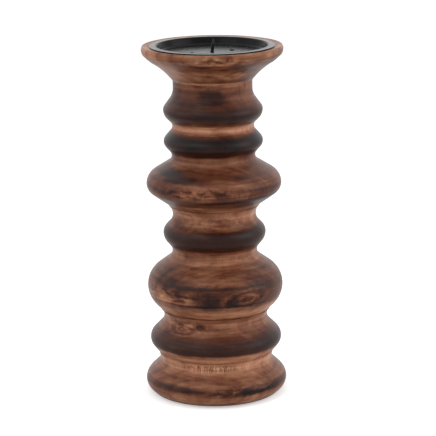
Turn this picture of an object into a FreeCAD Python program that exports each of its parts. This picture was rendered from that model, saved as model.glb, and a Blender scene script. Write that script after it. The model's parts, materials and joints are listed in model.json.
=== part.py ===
import FreeCAD, Part
import math
import os
import Sketcher

# A turned wooden candle stand with a metal drip pan and a pricket, in millimetres.
# The stand's axis is Z, its felt pads rest on Z = 0, and +X is to the right of someone facing it.
# The wooden body is four turned lengths, glued end to end on dowels where a bead meets the neck below.

# Sizes that are set by hand. A rise is measured up from the station before it.
drivingSizes = {
    # Felt pads, set in from the foot's edge
    "padRadius": 8.0,
    "padThickness": 1.5,
    "padInset": 5.0,
    "padEdgeBreak": 0.4,
    # Foot, with a shallow dish turned under it and the mark of the lathe's centre
    "footTuck": 5.9,
    "footDishMargin": 3.0,
    "footDishDepth": 1.2,
    "centreMarkRadius": 2.5,
    "centreMarkDepth": 3.0,
    # Base column. The foot bead is the widest, and each other bead is set in from it.
    "footBeadRadius": 60.3,
    "footBeadRise": 9.6,
    "footGrooveDepth": 8.1,
    "footGrooveRise": 18.6,
    "footCreaseProud": 1.5,
    "footCreaseRise": 6.8,
    "creaseWidth": 0.8,
    "creaseDepth": 0.5,
    "lowerBeadInset": 4.2,
    "lowerBeadRise": 11.3,
    "lowerGrooveDepth": 12.0,
    "lowerGrooveRise": 19.8,
    "lowerJointProud": 2.8,
    "lowerJointRise": 6.6,
    # Middle column
    "middleBeadInset": 2.7,
    "middleBeadRise": 20.1,
    "middleGrooveDepth": 7.4,
    "middleGrooveRise": 30.0,
    "narrowBeadInset": 16.8,
    "narrowBeadRise": 15.5,
    "upperNeckDepth": 8.2,
    "upperNeckRise": 15.7,
    "upperJointProud": 3.5,
    "upperJointRise": 8.7,
    # Upper column
    "upperBeadInset": 3.3,
    "upperBeadRise": 18.1,
    "upperGrooveDepth": 6.5,
    "upperGrooveRise": 23.9,
    "smallBeadInset": 18.5,
    "smallBeadRise": 12.1,
    "bellGrooveDepth": 7.4,
    "bellGrooveRise": 12.7,
    "bellBeadInset": 18.5,
    "bellBeadRise": 14.1,
    "topNeckDepth": 8.4,
    "topNeckRise": 17.9,
    "topNeckLength": 7.0,
    # Top cup: a lip over the neck, a hollow flare, a shoulder and a crowned rim
    "cupLip": 0.6,
    "flareRise": 16.2,
    "flareRound": 62.0,
    "shoulderRise": 5.8,
    "shoulderInset": 6.3,
    "shoulderRound": 50.0,
    "rimRise": 4.0,
    "rimInset": 0.9,
    "rimTopRise": 2.8,
    "rimTopInset": 1.1,
    "rimWidth": 6.0,
    # Where two lengths meet, both edges are broken
    "edgeBreak": 0.4,
    # Fluted dowels and their bores
    "dowelRadius": 10.0,
    "dowelDepth": 24.0,
    "dowelChamfer": 1.5,
    "fluteRadius": 0.7,
    "fluteCount": 12,
    "glueGap": 0.15,
    "glueRoom": 1.5,
    "cupWeb": 4.0,
    # Drip pan, pressed from sheet
    "panSheet": 1.0,
    "panMouthRadius": 46.3,
    "panWallLean": 2.2,
    "panDepth": 7.0,
    "panCornerRound": 1.6,
    "panLipRound": 0.6,
    "flangeWidth": 6.2,
    "flangeDrop": 1.2,
    "flangeGap": 0.8,
    "panSideGap": 0.5,
    "seatGap": 0.1,
    # Pricket, a pin with its head under the pan and a step that fills the pan's hole
    "pinRadius": 1.3,
    "pinStep": 0.4,
    "pinStepProud": 0.4,
    "pinShank": 7.5,
    "pinPoint": 4.5,
    "pinTipRadius": 0.15,
    "pinHeadRadius": 3.0,
    "pinHeadThickness": 0.9,
    "pinLean": 7.0,
    "pinHoleGap": 0.3,
    "pinPocketGap": 0.6,
    # Two round-headed screws that hold the pan down
    "screwCount": 2,
    "screwCircleRadius": 18.6,
    "screwAngle": 27.0,
    "screwHeadRadius": 2.1,
    "screwHeadHeight": 1.2,
    "screwShankRadius": 1.1,
    "screwLength": 12.0,
    "screwPoint": 3.0,
    "screwTipRadius": 0.1,
    "screwHoleGap": 0.2,
    "pilotGap": 0.05,
}

# Shares of the longest arc that fits between two stations, chosen by hand to follow the turning.
# What two arcs leave between them is a straight stretch that touches both.
flankShares = {
    "footBeadLowerShare": 0.88,
    "footBeadUpperShare": 0.57,
    "footGrooveShare": 0.22,
    "lowerBeadLowerShare": 0.72,
    "lowerBeadUpperShare": 0.40,
    "lowerGrooveShare": 0.44,
    "middleBeadLowerShare": 0.94,
    "middleBeadUpperShare": 0.65,
    "middleGrooveShare": 0.24,
    "narrowGrooveShare": 0.36,
    "narrowBeadLowerShare": 0.54,
    "narrowBeadUpperShare": 0.45,
    "upperNeckShare": 0.48,
    "upperBeadLowerShare": 0.51,
    "upperBeadUpperShare": 0.54,
    "upperGrooveShare": 0.24,
    "smallGrooveShare": 0.40,
    "smallBeadLowerShare": 0.45,
    "smallBeadUpperShare": 0.45,
    "bellGrooveShare": 0.33,
    "bellCoveShare": 0.35,
    "bellBeadLowerShare": 0.59,
    "bellBeadUpperShare": 0.25,
    "topNeckShare": 0.60,
}

# Sizes that follow from the ones above
derivedSizes = {
    # Heights of the stations, from the floor up
    "footBeadHeight": "padThickness + footBeadRise",
    "footGrooveHeight": "footBeadHeight + footGrooveRise",
    "footCreaseHeight": "footGrooveHeight + footCreaseRise",
    "footCreaseMiddle": "footCreaseHeight + creaseWidth / 2",
    "footCreaseTop": "footCreaseHeight + creaseWidth",
    "lowerBeadHeight": "footCreaseHeight + lowerBeadRise",
    "lowerGrooveHeight": "lowerBeadHeight + lowerGrooveRise",
    "lowerJointHeight": "lowerGrooveHeight + lowerJointRise",
    "middleBeadHeight": "lowerJointHeight + middleBeadRise",
    "middleGrooveHeight": "middleBeadHeight + middleGrooveRise",
    "narrowBeadHeight": "middleGrooveHeight + narrowBeadRise",
    "upperNeckHeight": "narrowBeadHeight + upperNeckRise",
    "upperJointHeight": "upperNeckHeight + upperJointRise",
    "upperBeadHeight": "upperJointHeight + upperBeadRise",
    "upperGrooveHeight": "upperBeadHeight + upperGrooveRise",
    "smallBeadHeight": "upperGrooveHeight + smallBeadRise",
    "bellGrooveHeight": "smallBeadHeight + bellGrooveRise",
    "bellBeadHeight": "bellGrooveHeight + bellBeadRise",
    "topNeckHeight": "bellBeadHeight + topNeckRise",
    "cupHeight": "topNeckHeight + topNeckLength",
    "flareHeight": "cupHeight + flareRise",
    "shoulderHeight": "flareHeight + shoulderRise",
    "rimHeight": "shoulderHeight + rimRise",
    "rimTopHeight": "rimHeight + rimTopRise",
    # Broken edges below and above each joint
    "lowerJointUnder": "lowerJointHeight - edgeBreak",
    "lowerJointOver": "lowerJointHeight + edgeBreak",
    "upperJointUnder": "upperJointHeight - edgeBreak",
    "upperJointOver": "upperJointHeight + edgeBreak",
    "cupEdgeHeight": "cupHeight + edgeBreak",
    # Radii of the beads above the foot bead
    "lowerBeadRadius": "footBeadRadius - lowerBeadInset",
    "middleBeadRadius": "footBeadRadius - middleBeadInset",
    "narrowBeadRadius": "footBeadRadius - narrowBeadInset",
    "upperBeadRadius": "footBeadRadius - upperBeadInset",
    "smallBeadRadius": "footBeadRadius - smallBeadInset",
    "bellBeadRadius": "footBeadRadius - bellBeadInset",
    # Radii of the foot and of the grooves, each cut below the smaller of its two beads
    "footRadius": "footBeadRadius - footTuck",
    "footGrooveRadius": "min(footBeadRadius; lowerBeadRadius) - footGrooveDepth",
    "footCreaseRadius": "footGrooveRadius + footCreaseProud",
    "footCreaseFloor": "footCreaseRadius - creaseDepth",
    "footCreaseTopRadius": "footCreaseRadius + creaseDepth",
    "lowerGrooveRadius": "min(lowerBeadRadius; middleBeadRadius) - lowerGrooveDepth",
    "lowerJointRadius": "lowerGrooveRadius + lowerJointProud",
    "lowerFaceRadius": "lowerJointRadius - edgeBreak",
    "middleGrooveRadius": "min(middleBeadRadius; narrowBeadRadius) - middleGrooveDepth",
    "upperNeckRadius": "min(narrowBeadRadius; upperBeadRadius) - upperNeckDepth",
    "upperJointRadius": "upperNeckRadius + upperJointProud",
    "upperFaceRadius": "upperJointRadius - edgeBreak",
    "upperGrooveRadius": "min(upperBeadRadius; smallBeadRadius) - upperGrooveDepth",
    "bellGrooveRadius": "min(smallBeadRadius; bellBeadRadius) - bellGrooveDepth",
    "topNeckRadius": "bellBeadRadius - topNeckDepth",
    "cupRadius": "topNeckRadius + cupLip",
    "cupFaceRadius": "cupRadius - edgeBreak",
    # Pads and the dish between them
    "padCircleRadius": "footRadius - padInset - padRadius",
    "footDishRadius": "padCircleRadius - padRadius - footDishMargin",
    "footDishHeight": "padThickness + footDishDepth",
    "centreMarkHeight": "footDishHeight + centreMarkDepth",
    # Pan, and the rim and recess that follow it
    "panFloorRadius": "panMouthRadius - panWallLean",
    "panMouthHeight": "rimTopHeight + flangeDrop",
    "panFloorHeight": "panMouthHeight - panDepth",
    "panUnderHeight": "panFloorHeight - panSheet",
    "panCornerOuterRound": "panCornerRound + panSheet",
    "panLipOuterRound": "panLipRound + panSheet",
    "flangeRadius": "panMouthRadius + flangeWidth",
    "flangeSlope": "flangeDrop / flangeWidth",
    "seatRadius": "flangeRadius + flangeGap",
    "rimRadius": "seatRadius + rimWidth",
    "rimTopRadius": "rimRadius - rimTopInset",
    "shoulderRadius": "rimRadius - rimInset",
    "flareRadius": "shoulderRadius - shoulderInset",
    "recessRadius": "panMouthRadius + panSheet + panSideGap",
    "recessFloor": "panUnderHeight - seatGap",
    "seatOuterHeight": "rimTopHeight - panSheet - seatGap - flangeGap * flangeSlope",
    "seatInnerHeight": "seatOuterHeight + (seatRadius - recessRadius) * flangeSlope",
    # Pricket: it leans about the middle of the pan's sheet, and its tilted head clears the pan
    "pinHeadTilt": "pinHeadRadius * sin(pinLean * 1 deg)",
    "pinHeadDrop": "pinHeadTilt + seatGap",
    "pinSeatLength": "pinHeadThickness + pinHeadDrop + panSheet / 2",
    "pinShoulder": "pinSeatLength + panSheet / 2 + pinShank",
    "pinLength": "pinShoulder + pinPoint",
    "pinBaseShift": "-pinSeatLength * sin(pinLean * 1 deg)",
    "pinBaseHeight": "panFloorHeight - panSheet / 2 - pinSeatLength * cos(pinLean * 1 deg)",
    "pinStepRadius": "pinRadius + pinStep",
    "pinStepEnd": "pinSeatLength + panSheet / 2 + pinStepProud",
    "pinHoleRadius": "pinStepRadius + pinHoleGap",
    "pinPocketRadius": "pinHeadRadius + pinPocketGap",
    "pinPocketDepth": "pinHeadDrop + pinHeadThickness + pinHeadTilt + seatGap",
    # Screws, their holes in the pan and their pilot holes in the cup
    "screwTotal": "screwLength + screwHeadHeight",
    "screwBaseHeight": "panFloorHeight - screwLength",
    "screwPlaceX": "screwCircleRadius * cos(screwAngle * 1 deg)",
    "screwPlaceY": "screwCircleRadius * sin(screwAngle * 1 deg)",
    "screwHoleRadius": "screwShankRadius + screwHoleGap",
    "pilotRadius": "screwShankRadius + pilotGap",
    "pilotDepth": "recessFloor - screwBaseHeight + seatGap",
    # Dowels and bores
    "boreRadius": "dowelRadius + glueGap",
    "boreDepth": "dowelDepth + glueRoom",
    "cupBoreDepth": "recessFloor - pinPocketDepth - cupWeb - cupHeight",
    "columnDowelLength": "2 * dowelDepth",
    "upperDowelLength": "dowelDepth + cupBoreDepth - glueRoom",
    "lowerDowelBase": "lowerJointHeight - dowelDepth",
    "middleDowelBase": "upperJointHeight - dowelDepth",
    "upperDowelBase": "cupHeight - dowelDepth",
}

document = FreeCAD.newDocument("CandleStand")
sheet = document.addObject("Spreadsheet::Sheet", "sizes")
handSizes = {**drivingSizes, **flankShares}
sheetRows = [(alias, str(size)) for alias, size in handSizes.items()]
sheetRows += [(alias, "=" + formula) for alias, formula in derivedSizes.items()]
for rowNumber, (alias, content) in enumerate(sheetRows, start=1):
    sheet.set(f"A{rowNumber}", alias)
    sheet.set(f"B{rowNumber}", content)
    sheet.setAlias(f"B{rowNumber}", alias)
document.recompute()


def sizeOf(alias):
    # A missing alias stands for zero: the axis, or the plane that a piece is drawn from
    return float(sheet.get(alias)) if alias else 0.0


def newBody(label):
    body = document.addObject("PartDesign::Body", label)
    body.Label = label
    return body


def originPart(body, role):
    return next(item for item in body.Origin.OriginFeatures if item.Role == role)


def newSketch(body, name, role, height=None):
    sketch = body.newObject("Sketcher::SketchObject", name)
    sketch.AttachmentSupport = [(originPart(body, role), "")]
    sketch.MapMode = "FlatFace"
    if height:
        sketch.setExpression("AttachmentOffset.Base.z", f"sizes.{height}")
    return sketch


def bind(sketch, constraint, formula):
    number = sketch.addConstraint(constraint)
    sketch.setExpression(f"Constraints[{number}]", formula)


# A closed outline in a body's XZ plane, drawn edge by edge and bound to the sheet.
# A place is two aliases, radius and height, and None stands for the axis or the base plane.
class TurnedOutline:
    def __init__(self, body, name):
        self.sketch = newSketch(body, name, "XZ_Plane")
        self.opening = None
        self.pen = None
        self.aliases = (None, None)

    def place(self):
        return FreeCAD.Vector(sizeOf(self.aliases[0]), sizeOf(self.aliases[1]), 0)

    def fix(self, end, radius, height):
        if radius:
            distance = Sketcher.Constraint("DistanceX", -1, 1, *end, sizeOf(radius))
            bind(self.sketch, distance, f"sizes.{radius}")
        else:
            self.sketch.addConstraint(Sketcher.Constraint("PointOnObject", *end, -2))
        if height:
            distance = Sketcher.Constraint("DistanceY", -1, 1, *end, sizeOf(height))
            bind(self.sketch, distance, f"sizes.{height}")
        else:
            self.sketch.addConstraint(Sketcher.Constraint("PointOnObject", *end, -1))

    def start(self, radius, height):
        self.aliases = (radius, height)

    # Ties a new edge to the last one, or makes its first end the place where the outline opens
    def follow(self, first, last):
        if self.pen is None:
            self.fix(first, *self.aliases)
            self.opening = first
        else:
            self.sketch.addConstraint(Sketcher.Constraint("Coincident", *self.pen, *first))
        self.pen = last

    def arrive(self, radius, height):
        self.fix(self.pen, radius, height)
        self.aliases = (radius, height)

    def addLine(self, begin, finish):
        edge = self.sketch.addGeometry(Part.LineSegment(begin, finish), False)
        return (edge, 1), (edge, 2)

    # An arc of under half a turn about a centre, with its ends in the order they are drawn
    def addArc(self, centre, begin, finish):
        beginAngle = math.atan2(begin.y - centre.y, begin.x - centre.x)
        finishAngle = math.atan2(finish.y - centre.y, finish.x - centre.x)
        circle = Part.Circle(centre, FreeCAD.Vector(0, 0, 1), centre.distanceToPoint(begin))
        if (finishAngle - beginAngle) % (2 * math.pi) < math.pi:
            edge = self.sketch.addGeometry(Part.ArcOfCircle(circle, beginAngle, finishAngle), False)
            return (edge, 1), (edge, 2)
        edge = self.sketch.addGeometry(Part.ArcOfCircle(circle, finishAngle, beginAngle), False)
        return (edge, 2), (edge, 1)

    def line(self, radius, height):
        begin = self.place()
        finish = FreeCAD.Vector(sizeOf(radius), sizeOf(height), 0)
        self.follow(*self.addLine(begin, finish))
        self.arrive(radius, height)

    # A line whose far end is left to the constraints that the caller adds
    def looseLine(self, begin, finish):
        first, last = self.addLine(begin, finish)
        self.follow(first, last)
        return first[0]

    # An arc that stands upright at one of its ends, "start" or "end"
    def upright(self, radius, height, where):
        begin = self.place()
        finish = FreeCAD.Vector(sizeOf(radius), sizeOf(height), 0)
        across = finish.x - begin.x
        reach = (across ** 2 + (finish.y - begin.y) ** 2) / (2 * across)
        if where == "start":
            centre = begin + FreeCAD.Vector(reach, 0, 0)
        else:
            centre = finish - FreeCAD.Vector(reach, 0, 0)
        first, last = self.addArc(centre, begin, finish)
        self.follow(first, last)
        self.arrive(radius, height)
        end = first if where == "start" else last
        self.sketch.addConstraint(Sketcher.Constraint("Horizontal", end[0], 3, *end))

    # An arc of a named radius whose centre lies to the right of the way drawn, or to its left
    def bow(self, radius, height, roundness, turn):
        begin = self.place()
        finish = FreeCAD.Vector(sizeOf(radius), sizeOf(height), 0)
        chord = finish - begin
        aside = FreeCAD.Vector(chord.y, -chord.x, 0).normalize()
        if turn == "left":
            aside = aside * -1
        depth = math.sqrt(sizeOf(roundness) ** 2 - (chord.Length / 2) ** 2)
        first, last = self.addArc((begin + finish) / 2 + aside * depth, begin, finish)
        self.follow(first, last)
        self.arrive(radius, height)
        radiusRule = Sketcher.Constraint("Radius", first[0], sizeOf(roundness))
        bind(self.sketch, radiusRule, f"sizes.{roundness}")

    # A bead's flank, going up: an arc that is upright at each end that has a share, and a straight
    # stretch that touches both. With both shares at a sum of one the stretch would vanish.
    def flank(self, radius, height, firstShare, lastShare):
        begin = self.place()
        finish = FreeCAD.Vector(sizeOf(radius), sizeOf(height), 0)
        inward = 1 if finish.x < begin.x else -1
        across = abs(finish.x - begin.x)
        rise = finish.y - begin.y
        longest = (across ** 2 + rise ** 2) / (2 * across)
        firstRound = sizeOf(firstShare) * longest
        lastRound = sizeOf(lastShare) * longest
        both = firstRound + lastRound
        straight = math.sqrt(across ** 2 + rise ** 2 - 2 * across * both)
        reach = straight ** 2 + both ** 2
        sine = (straight * (across - both) + both * rise) / reach
        cosine = (straight * rise - both * (across - both)) / reach
        outwardOfArc = FreeCAD.Vector(inward * cosine, sine, 0)
        firstCentre = begin - FreeCAD.Vector(inward * firstRound, 0, 0)
        lastCentre = finish + FreeCAD.Vector(inward * lastRound, 0, 0)
        lineBegin = firstCentre + outwardOfArc * firstRound
        lineFinish = lastCentre - outwardOfArc * lastRound
        wide, narrow = (self.aliases[0], radius) if inward == 1 else (radius, self.aliases[0])
        acrossText = f"(sizes.{wide} - sizes.{narrow})"
        riseText = f"(sizes.{height} - sizes.{self.aliases[1]})"
        longestText = f"({acrossText}^2 + {riseText}^2) / (2 * {acrossText})"
        if firstShare:
            first, last = self.addArc(firstCentre, begin, lineBegin)
            self.follow(first, last)
            self.sketch.addConstraint(Sketcher.Constraint("Horizontal", first[0], 3, *first))
            radiusRule = Sketcher.Constraint("Radius", first[0], firstRound)
            bind(self.sketch, radiusRule, f"sizes.{firstShare} * {longestText}")
            self.touch(*self.addLine(lineBegin, lineFinish))
        else:
            self.follow(*self.addLine(lineBegin, lineFinish))
        if lastShare:
            first, last = self.addArc(lastCentre, lineFinish, finish)
            self.touch(first, last)
            self.sketch.addConstraint(Sketcher.Constraint("Horizontal", last[0], 3, *last))
            radiusRule = Sketcher.Constraint("Radius", last[0], lastRound)
            bind(self.sketch, radiusRule, f"sizes.{lastShare} * {longestText}")
        self.arrive(radius, height)

    # Like follow, but the new edge also runs on in the direction of the last one
    def touch(self, first, last):
        self.sketch.addConstraint(Sketcher.Constraint("Tangent", *self.pen, *first))
        self.pen = last

    # A dome that ends on the axis, where its centre lies too
    def dome(self, height):
        begin = self.place()
        finish = FreeCAD.Vector(0, sizeOf(height), 0)
        reach = (begin.x ** 2 + (finish.y - begin.y) ** 2) / (2 * (finish.y - begin.y))
        first, last = self.addArc(finish - FreeCAD.Vector(0, reach, 0), begin, finish)
        self.follow(first, last)
        self.arrive(None, height)
        self.sketch.addConstraint(Sketcher.Constraint("PointOnObject", first[0], 3, -2))

    def close(self):
        begin = self.place()
        finish = self.sketch.getPoint(*self.opening)
        first, last = self.addLine(begin, FreeCAD.Vector(finish.x, finish.y, 0))
        self.sketch.addConstraint(Sketcher.Constraint("Coincident", *self.pen, *first))
        self.sketch.addConstraint(Sketcher.Constraint("Coincident", *last, *self.opening))


def revolve(body, outline):
    turned = body.newObject("PartDesign::Revolution", "turned")
    turned.Profile = outline.sketch
    turned.ReferenceAxis = (outline.sketch, ["V_Axis"])
    turned.Angle = 360
    outline.sketch.Visibility = False
    return turned


# A circle in a body's XY plane, with its centre on the axis or at two named distances from it
def circleSketch(body, name, radius, height=None, placeX=None, placeY=None):
    sketch = newSketch(body, name, "XY_Plane", height)
    centre = FreeCAD.Vector(sizeOf(placeX), sizeOf(placeY), 0)
    circle = sketch.addGeometry(Part.Circle(centre, FreeCAD.Vector(0, 0, 1), sizeOf(radius)), False)
    bind(sketch, Sketcher.Constraint("Radius", circle, sizeOf(radius)), f"sizes.{radius}")
    if placeX:
        away = Sketcher.Constraint("DistanceX", -1, 1, circle, 3, sizeOf(placeX))
        bind(sketch, away, f"sizes.{placeX}")
    else:
        sketch.addConstraint(Sketcher.Constraint("PointOnObject", circle, 3, -2))
    if placeY:
        away = Sketcher.Constraint("DistanceY", -1, 1, circle, 3, sizeOf(placeY))
        bind(sketch, away, f"sizes.{placeY}")
    else:
        sketch.addConstraint(Sketcher.Constraint("PointOnObject", circle, 3, -1))
    return sketch


# Cuts a drawn circle down from its plane, or up from it, to a named depth or right through
def pocket(body, name, sketch, depth=None, upward=False):
    document.recompute()
    volumeBefore = body.Shape.Volume
    cut = body.newObject("PartDesign::Pocket", name)
    cut.Profile = sketch
    cut.Reversed = upward
    if depth:
        cut.setExpression("Length", f"sizes.{depth}")
    else:
        cut.Type = "ThroughAll"
        cut.Midplane = True
    sketch.Visibility = False
    document.recompute()
    if body.Shape.Volume >= volumeBefore:
        raise ValueError(f"{body.Label} {name} removed nothing")
    return cut


# Copies a cut evenly round the axis
def repeatRound(body, name, feature, count):
    pattern = body.newObject("PartDesign::PolarPattern", name)
    pattern.Originals = [feature]
    pattern.Axis = (originPart(body, "Z_Axis"), [""])
    pattern.Angle = 360
    pattern.setExpression("Occurrences", f"sizes.{count}")
    body.Tip = pattern
    return pattern


# Two sizes that differ by less than this are taken as the same
sameSize = 1e-4


# Names of a feature's circular edges of one radius, at one height
def circleEdges(feature, radius, height):
    names = []
    for number, edge in enumerate(feature.Shape.Edges, start=1):
        curve = edge.Curve
        if not isinstance(curve, Part.Circle):
            continue
        if abs(curve.Radius - radius) < sameSize and abs(curve.Center.z - height) < sameSize:
            names.append(f"Edge{number}")
    return names


def dressEdges(body, kind, name, base, places, size):
    document.recompute()
    names = [edge for place in places for edge in circleEdges(base, *place)]
    if len(names) != len(places):
        raise ValueError(f"{body.Label} {name} found {len(names)} edges for {len(places)}")
    dressed = body.newObject(f"PartDesign::{kind}", name)
    dressed.Base = (base, names)
    dressed.setExpression("Radius" if kind == "Fillet" else "Size", f"sizes.{size}")
    body.Tip = dressed
    document.recompute()
    return dressed


def makePad(body, radius, length):
    disc = body.newObject("PartDesign::Pad", "disc")
    disc.Profile = circleSketch(body, "circle", radius)
    disc.setExpression("Length", f"sizes.{length}")
    disc.Profile[0].Visibility = False
    return disc


# Foot bead, groove and lower bead, up to the joint below the middle bead
def makeBaseColumn():
    body = newBody("base_column")
    outline = TurnedOutline(body, "outline")
    outline.start(None, "centreMarkHeight")
    outline.line("centreMarkRadius", "footDishHeight")
    outline.line("footDishRadius", "padThickness")
    outline.line("footRadius", "padThickness")
    outline.flank("footBeadRadius", "footBeadHeight", None, "footBeadLowerShare")
    outline.flank("footGrooveRadius", "footGrooveHeight", "footBeadUpperShare", "footGrooveShare")
    outline.upright("footCreaseRadius", "footCreaseHeight", "start")
    outline.line("footCreaseFloor", "footCreaseMiddle")
    outline.line("footCreaseTopRadius", "footCreaseTop")
    outline.flank("lowerBeadRadius", "lowerBeadHeight", None, "lowerBeadLowerShare")
    outline.flank("lowerGrooveRadius", "lowerGrooveHeight", "lowerBeadUpperShare", "lowerGrooveShare")
    outline.upright("lowerJointRadius", "lowerJointUnder", "start")
    outline.line("lowerFaceRadius", "lowerJointHeight")
    outline.line(None, "lowerJointHeight")
    outline.close()
    revolve(body, outline)
    pocket(body, "dowelBore", circleSketch(body, "bore", "boreRadius", "lowerJointHeight"), "boreDepth")
    return body


# The wide middle bead and the narrow one above it, up to the joint below the upper bead
def makeMiddleColumn():
    body = newBody("middle_column")
    outline = TurnedOutline(body, "outline")
    outline.start(None, "lowerJointHeight")
    outline.line("lowerFaceRadius", "lowerJointHeight")
    outline.line("lowerJointRadius", "lowerJointOver")
    outline.flank("middleBeadRadius", "middleBeadHeight", None, "middleBeadLowerShare")
    outline.flank("middleGrooveRadius", "middleGrooveHeight", "middleBeadUpperShare", "middleGrooveShare")
    outline.flank("narrowBeadRadius", "narrowBeadHeight", "narrowGrooveShare", "narrowBeadLowerShare")
    outline.flank("upperNeckRadius", "upperNeckHeight", "narrowBeadUpperShare", "upperNeckShare")
    outline.upright("upperJointRadius", "upperJointUnder", "start")
    outline.line("upperFaceRadius", "upperJointHeight")
    outline.line(None, "upperJointHeight")
    outline.close()
    revolve(body, outline)
    lowerBore = circleSketch(body, "lowerBore", "boreRadius", "lowerJointHeight")
    pocket(body, "lowerDowelBore", lowerBore, "boreDepth", upward=True)
    upperBore = circleSketch(body, "upperBore", "boreRadius", "upperJointHeight")
    pocket(body, "upperDowelBore", upperBore, "boreDepth")
    return body


# The wide upper bead, the small bead, the bell-shaped bead and the straight neck under the cup
def makeUpperColumn():
    body = newBody("upper_column")
    outline = TurnedOutline(body, "outline")
    outline.start(None, "upperJointHeight")
    outline.line("upperFaceRadius", "upperJointHeight")
    outline.line("upperJointRadius", "upperJointOver")
    outline.flank("upperBeadRadius", "upperBeadHeight", None, "upperBeadLowerShare")
    outline.flank("upperGrooveRadius", "upperGrooveHeight", "upperBeadUpperShare", "upperGrooveShare")
    outline.flank("smallBeadRadius", "smallBeadHeight", "smallGrooveShare", "smallBeadLowerShare")
    outline.flank("bellGrooveRadius", "bellGrooveHeight", "smallBeadUpperShare", "bellGrooveShare")
    outline.flank("bellBeadRadius", "bellBeadHeight", "bellCoveShare", "bellBeadLowerShare")
    outline.flank("topNeckRadius", "topNeckHeight", "bellBeadUpperShare", "topNeckShare")
    outline.line("topNeckRadius", "cupHeight")
    outline.line(None, "cupHeight")
    outline.close()
    revolve(body, outline)
    lowerBore = circleSketch(body, "lowerBore", "boreRadius", "upperJointHeight")
    pocket(body, "lowerDowelBore", lowerBore, "boreDepth", upward=True)
    upperBore = circleSketch(body, "upperBore", "boreRadius", "cupHeight")
    pocket(body, "upperDowelBore", upperBore, "boreDepth")
    return body


# The flared cup, with a recess for the pan, a sloped seat for its flange and a pocket for the pin's head
def makeTopCup():
    body = newBody("top_cup")
    outline = TurnedOutline(body, "outline")
    outline.start(None, "cupHeight")
    outline.line("cupFaceRadius", "cupHeight")
    outline.line("cupRadius", "cupEdgeHeight")
    outline.bow("flareRadius", "flareHeight", "flareRound", "right")
    outline.bow("shoulderRadius", "shoulderHeight", "shoulderRound", "left")
    outline.upright("rimRadius", "rimHeight", "end")
    outline.upright("rimTopRadius", "rimTopHeight", "start")
    outline.line("seatRadius", "rimTopHeight")
    outline.line("seatRadius", "seatOuterHeight")
    outline.line("recessRadius", "seatInnerHeight")
    outline.line("recessRadius", "recessFloor")
    outline.line(None, "recessFloor")
    outline.close()
    revolve(body, outline)
    bore = circleSketch(body, "bore", "boreRadius", "cupHeight")
    pocket(body, "dowelBore", bore, "cupBoreDepth", upward=True)
    pinPocket = circleSketch(body, "pinCircle", "pinPocketRadius", "recessFloor")
    pocket(body, "pinPocket", pinPocket, "pinPocketDepth")
    pilot = circleSketch(body, "pilotCircle", "pilotRadius", "recessFloor", "screwPlaceX", "screwPlaceY")
    repeatRound(body, "pilotHoles", pocket(body, "pilotHole", pilot, "pilotDepth"), "screwCount")
    return body


# A fluted dowel with chamfered ends
def makeDowel(label, length, base):
    body = newBody(label)
    rod = makePad(body, "dowelRadius", length)
    ends = [(sizeOf("dowelRadius"), 0), (sizeOf("dowelRadius"), sizeOf(length))]
    dressEdges(body, "Chamfer", "ends", rod, ends, "dowelChamfer")
    flute = circleSketch(body, "fluteCircle", "fluteRadius", None, "dowelRadius")
    repeatRound(body, "flutes", pocket(body, "flute", flute), "fluteCount")
    body.setExpression("Placement.Base.z", f"sizes.{base}")
    return body


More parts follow.
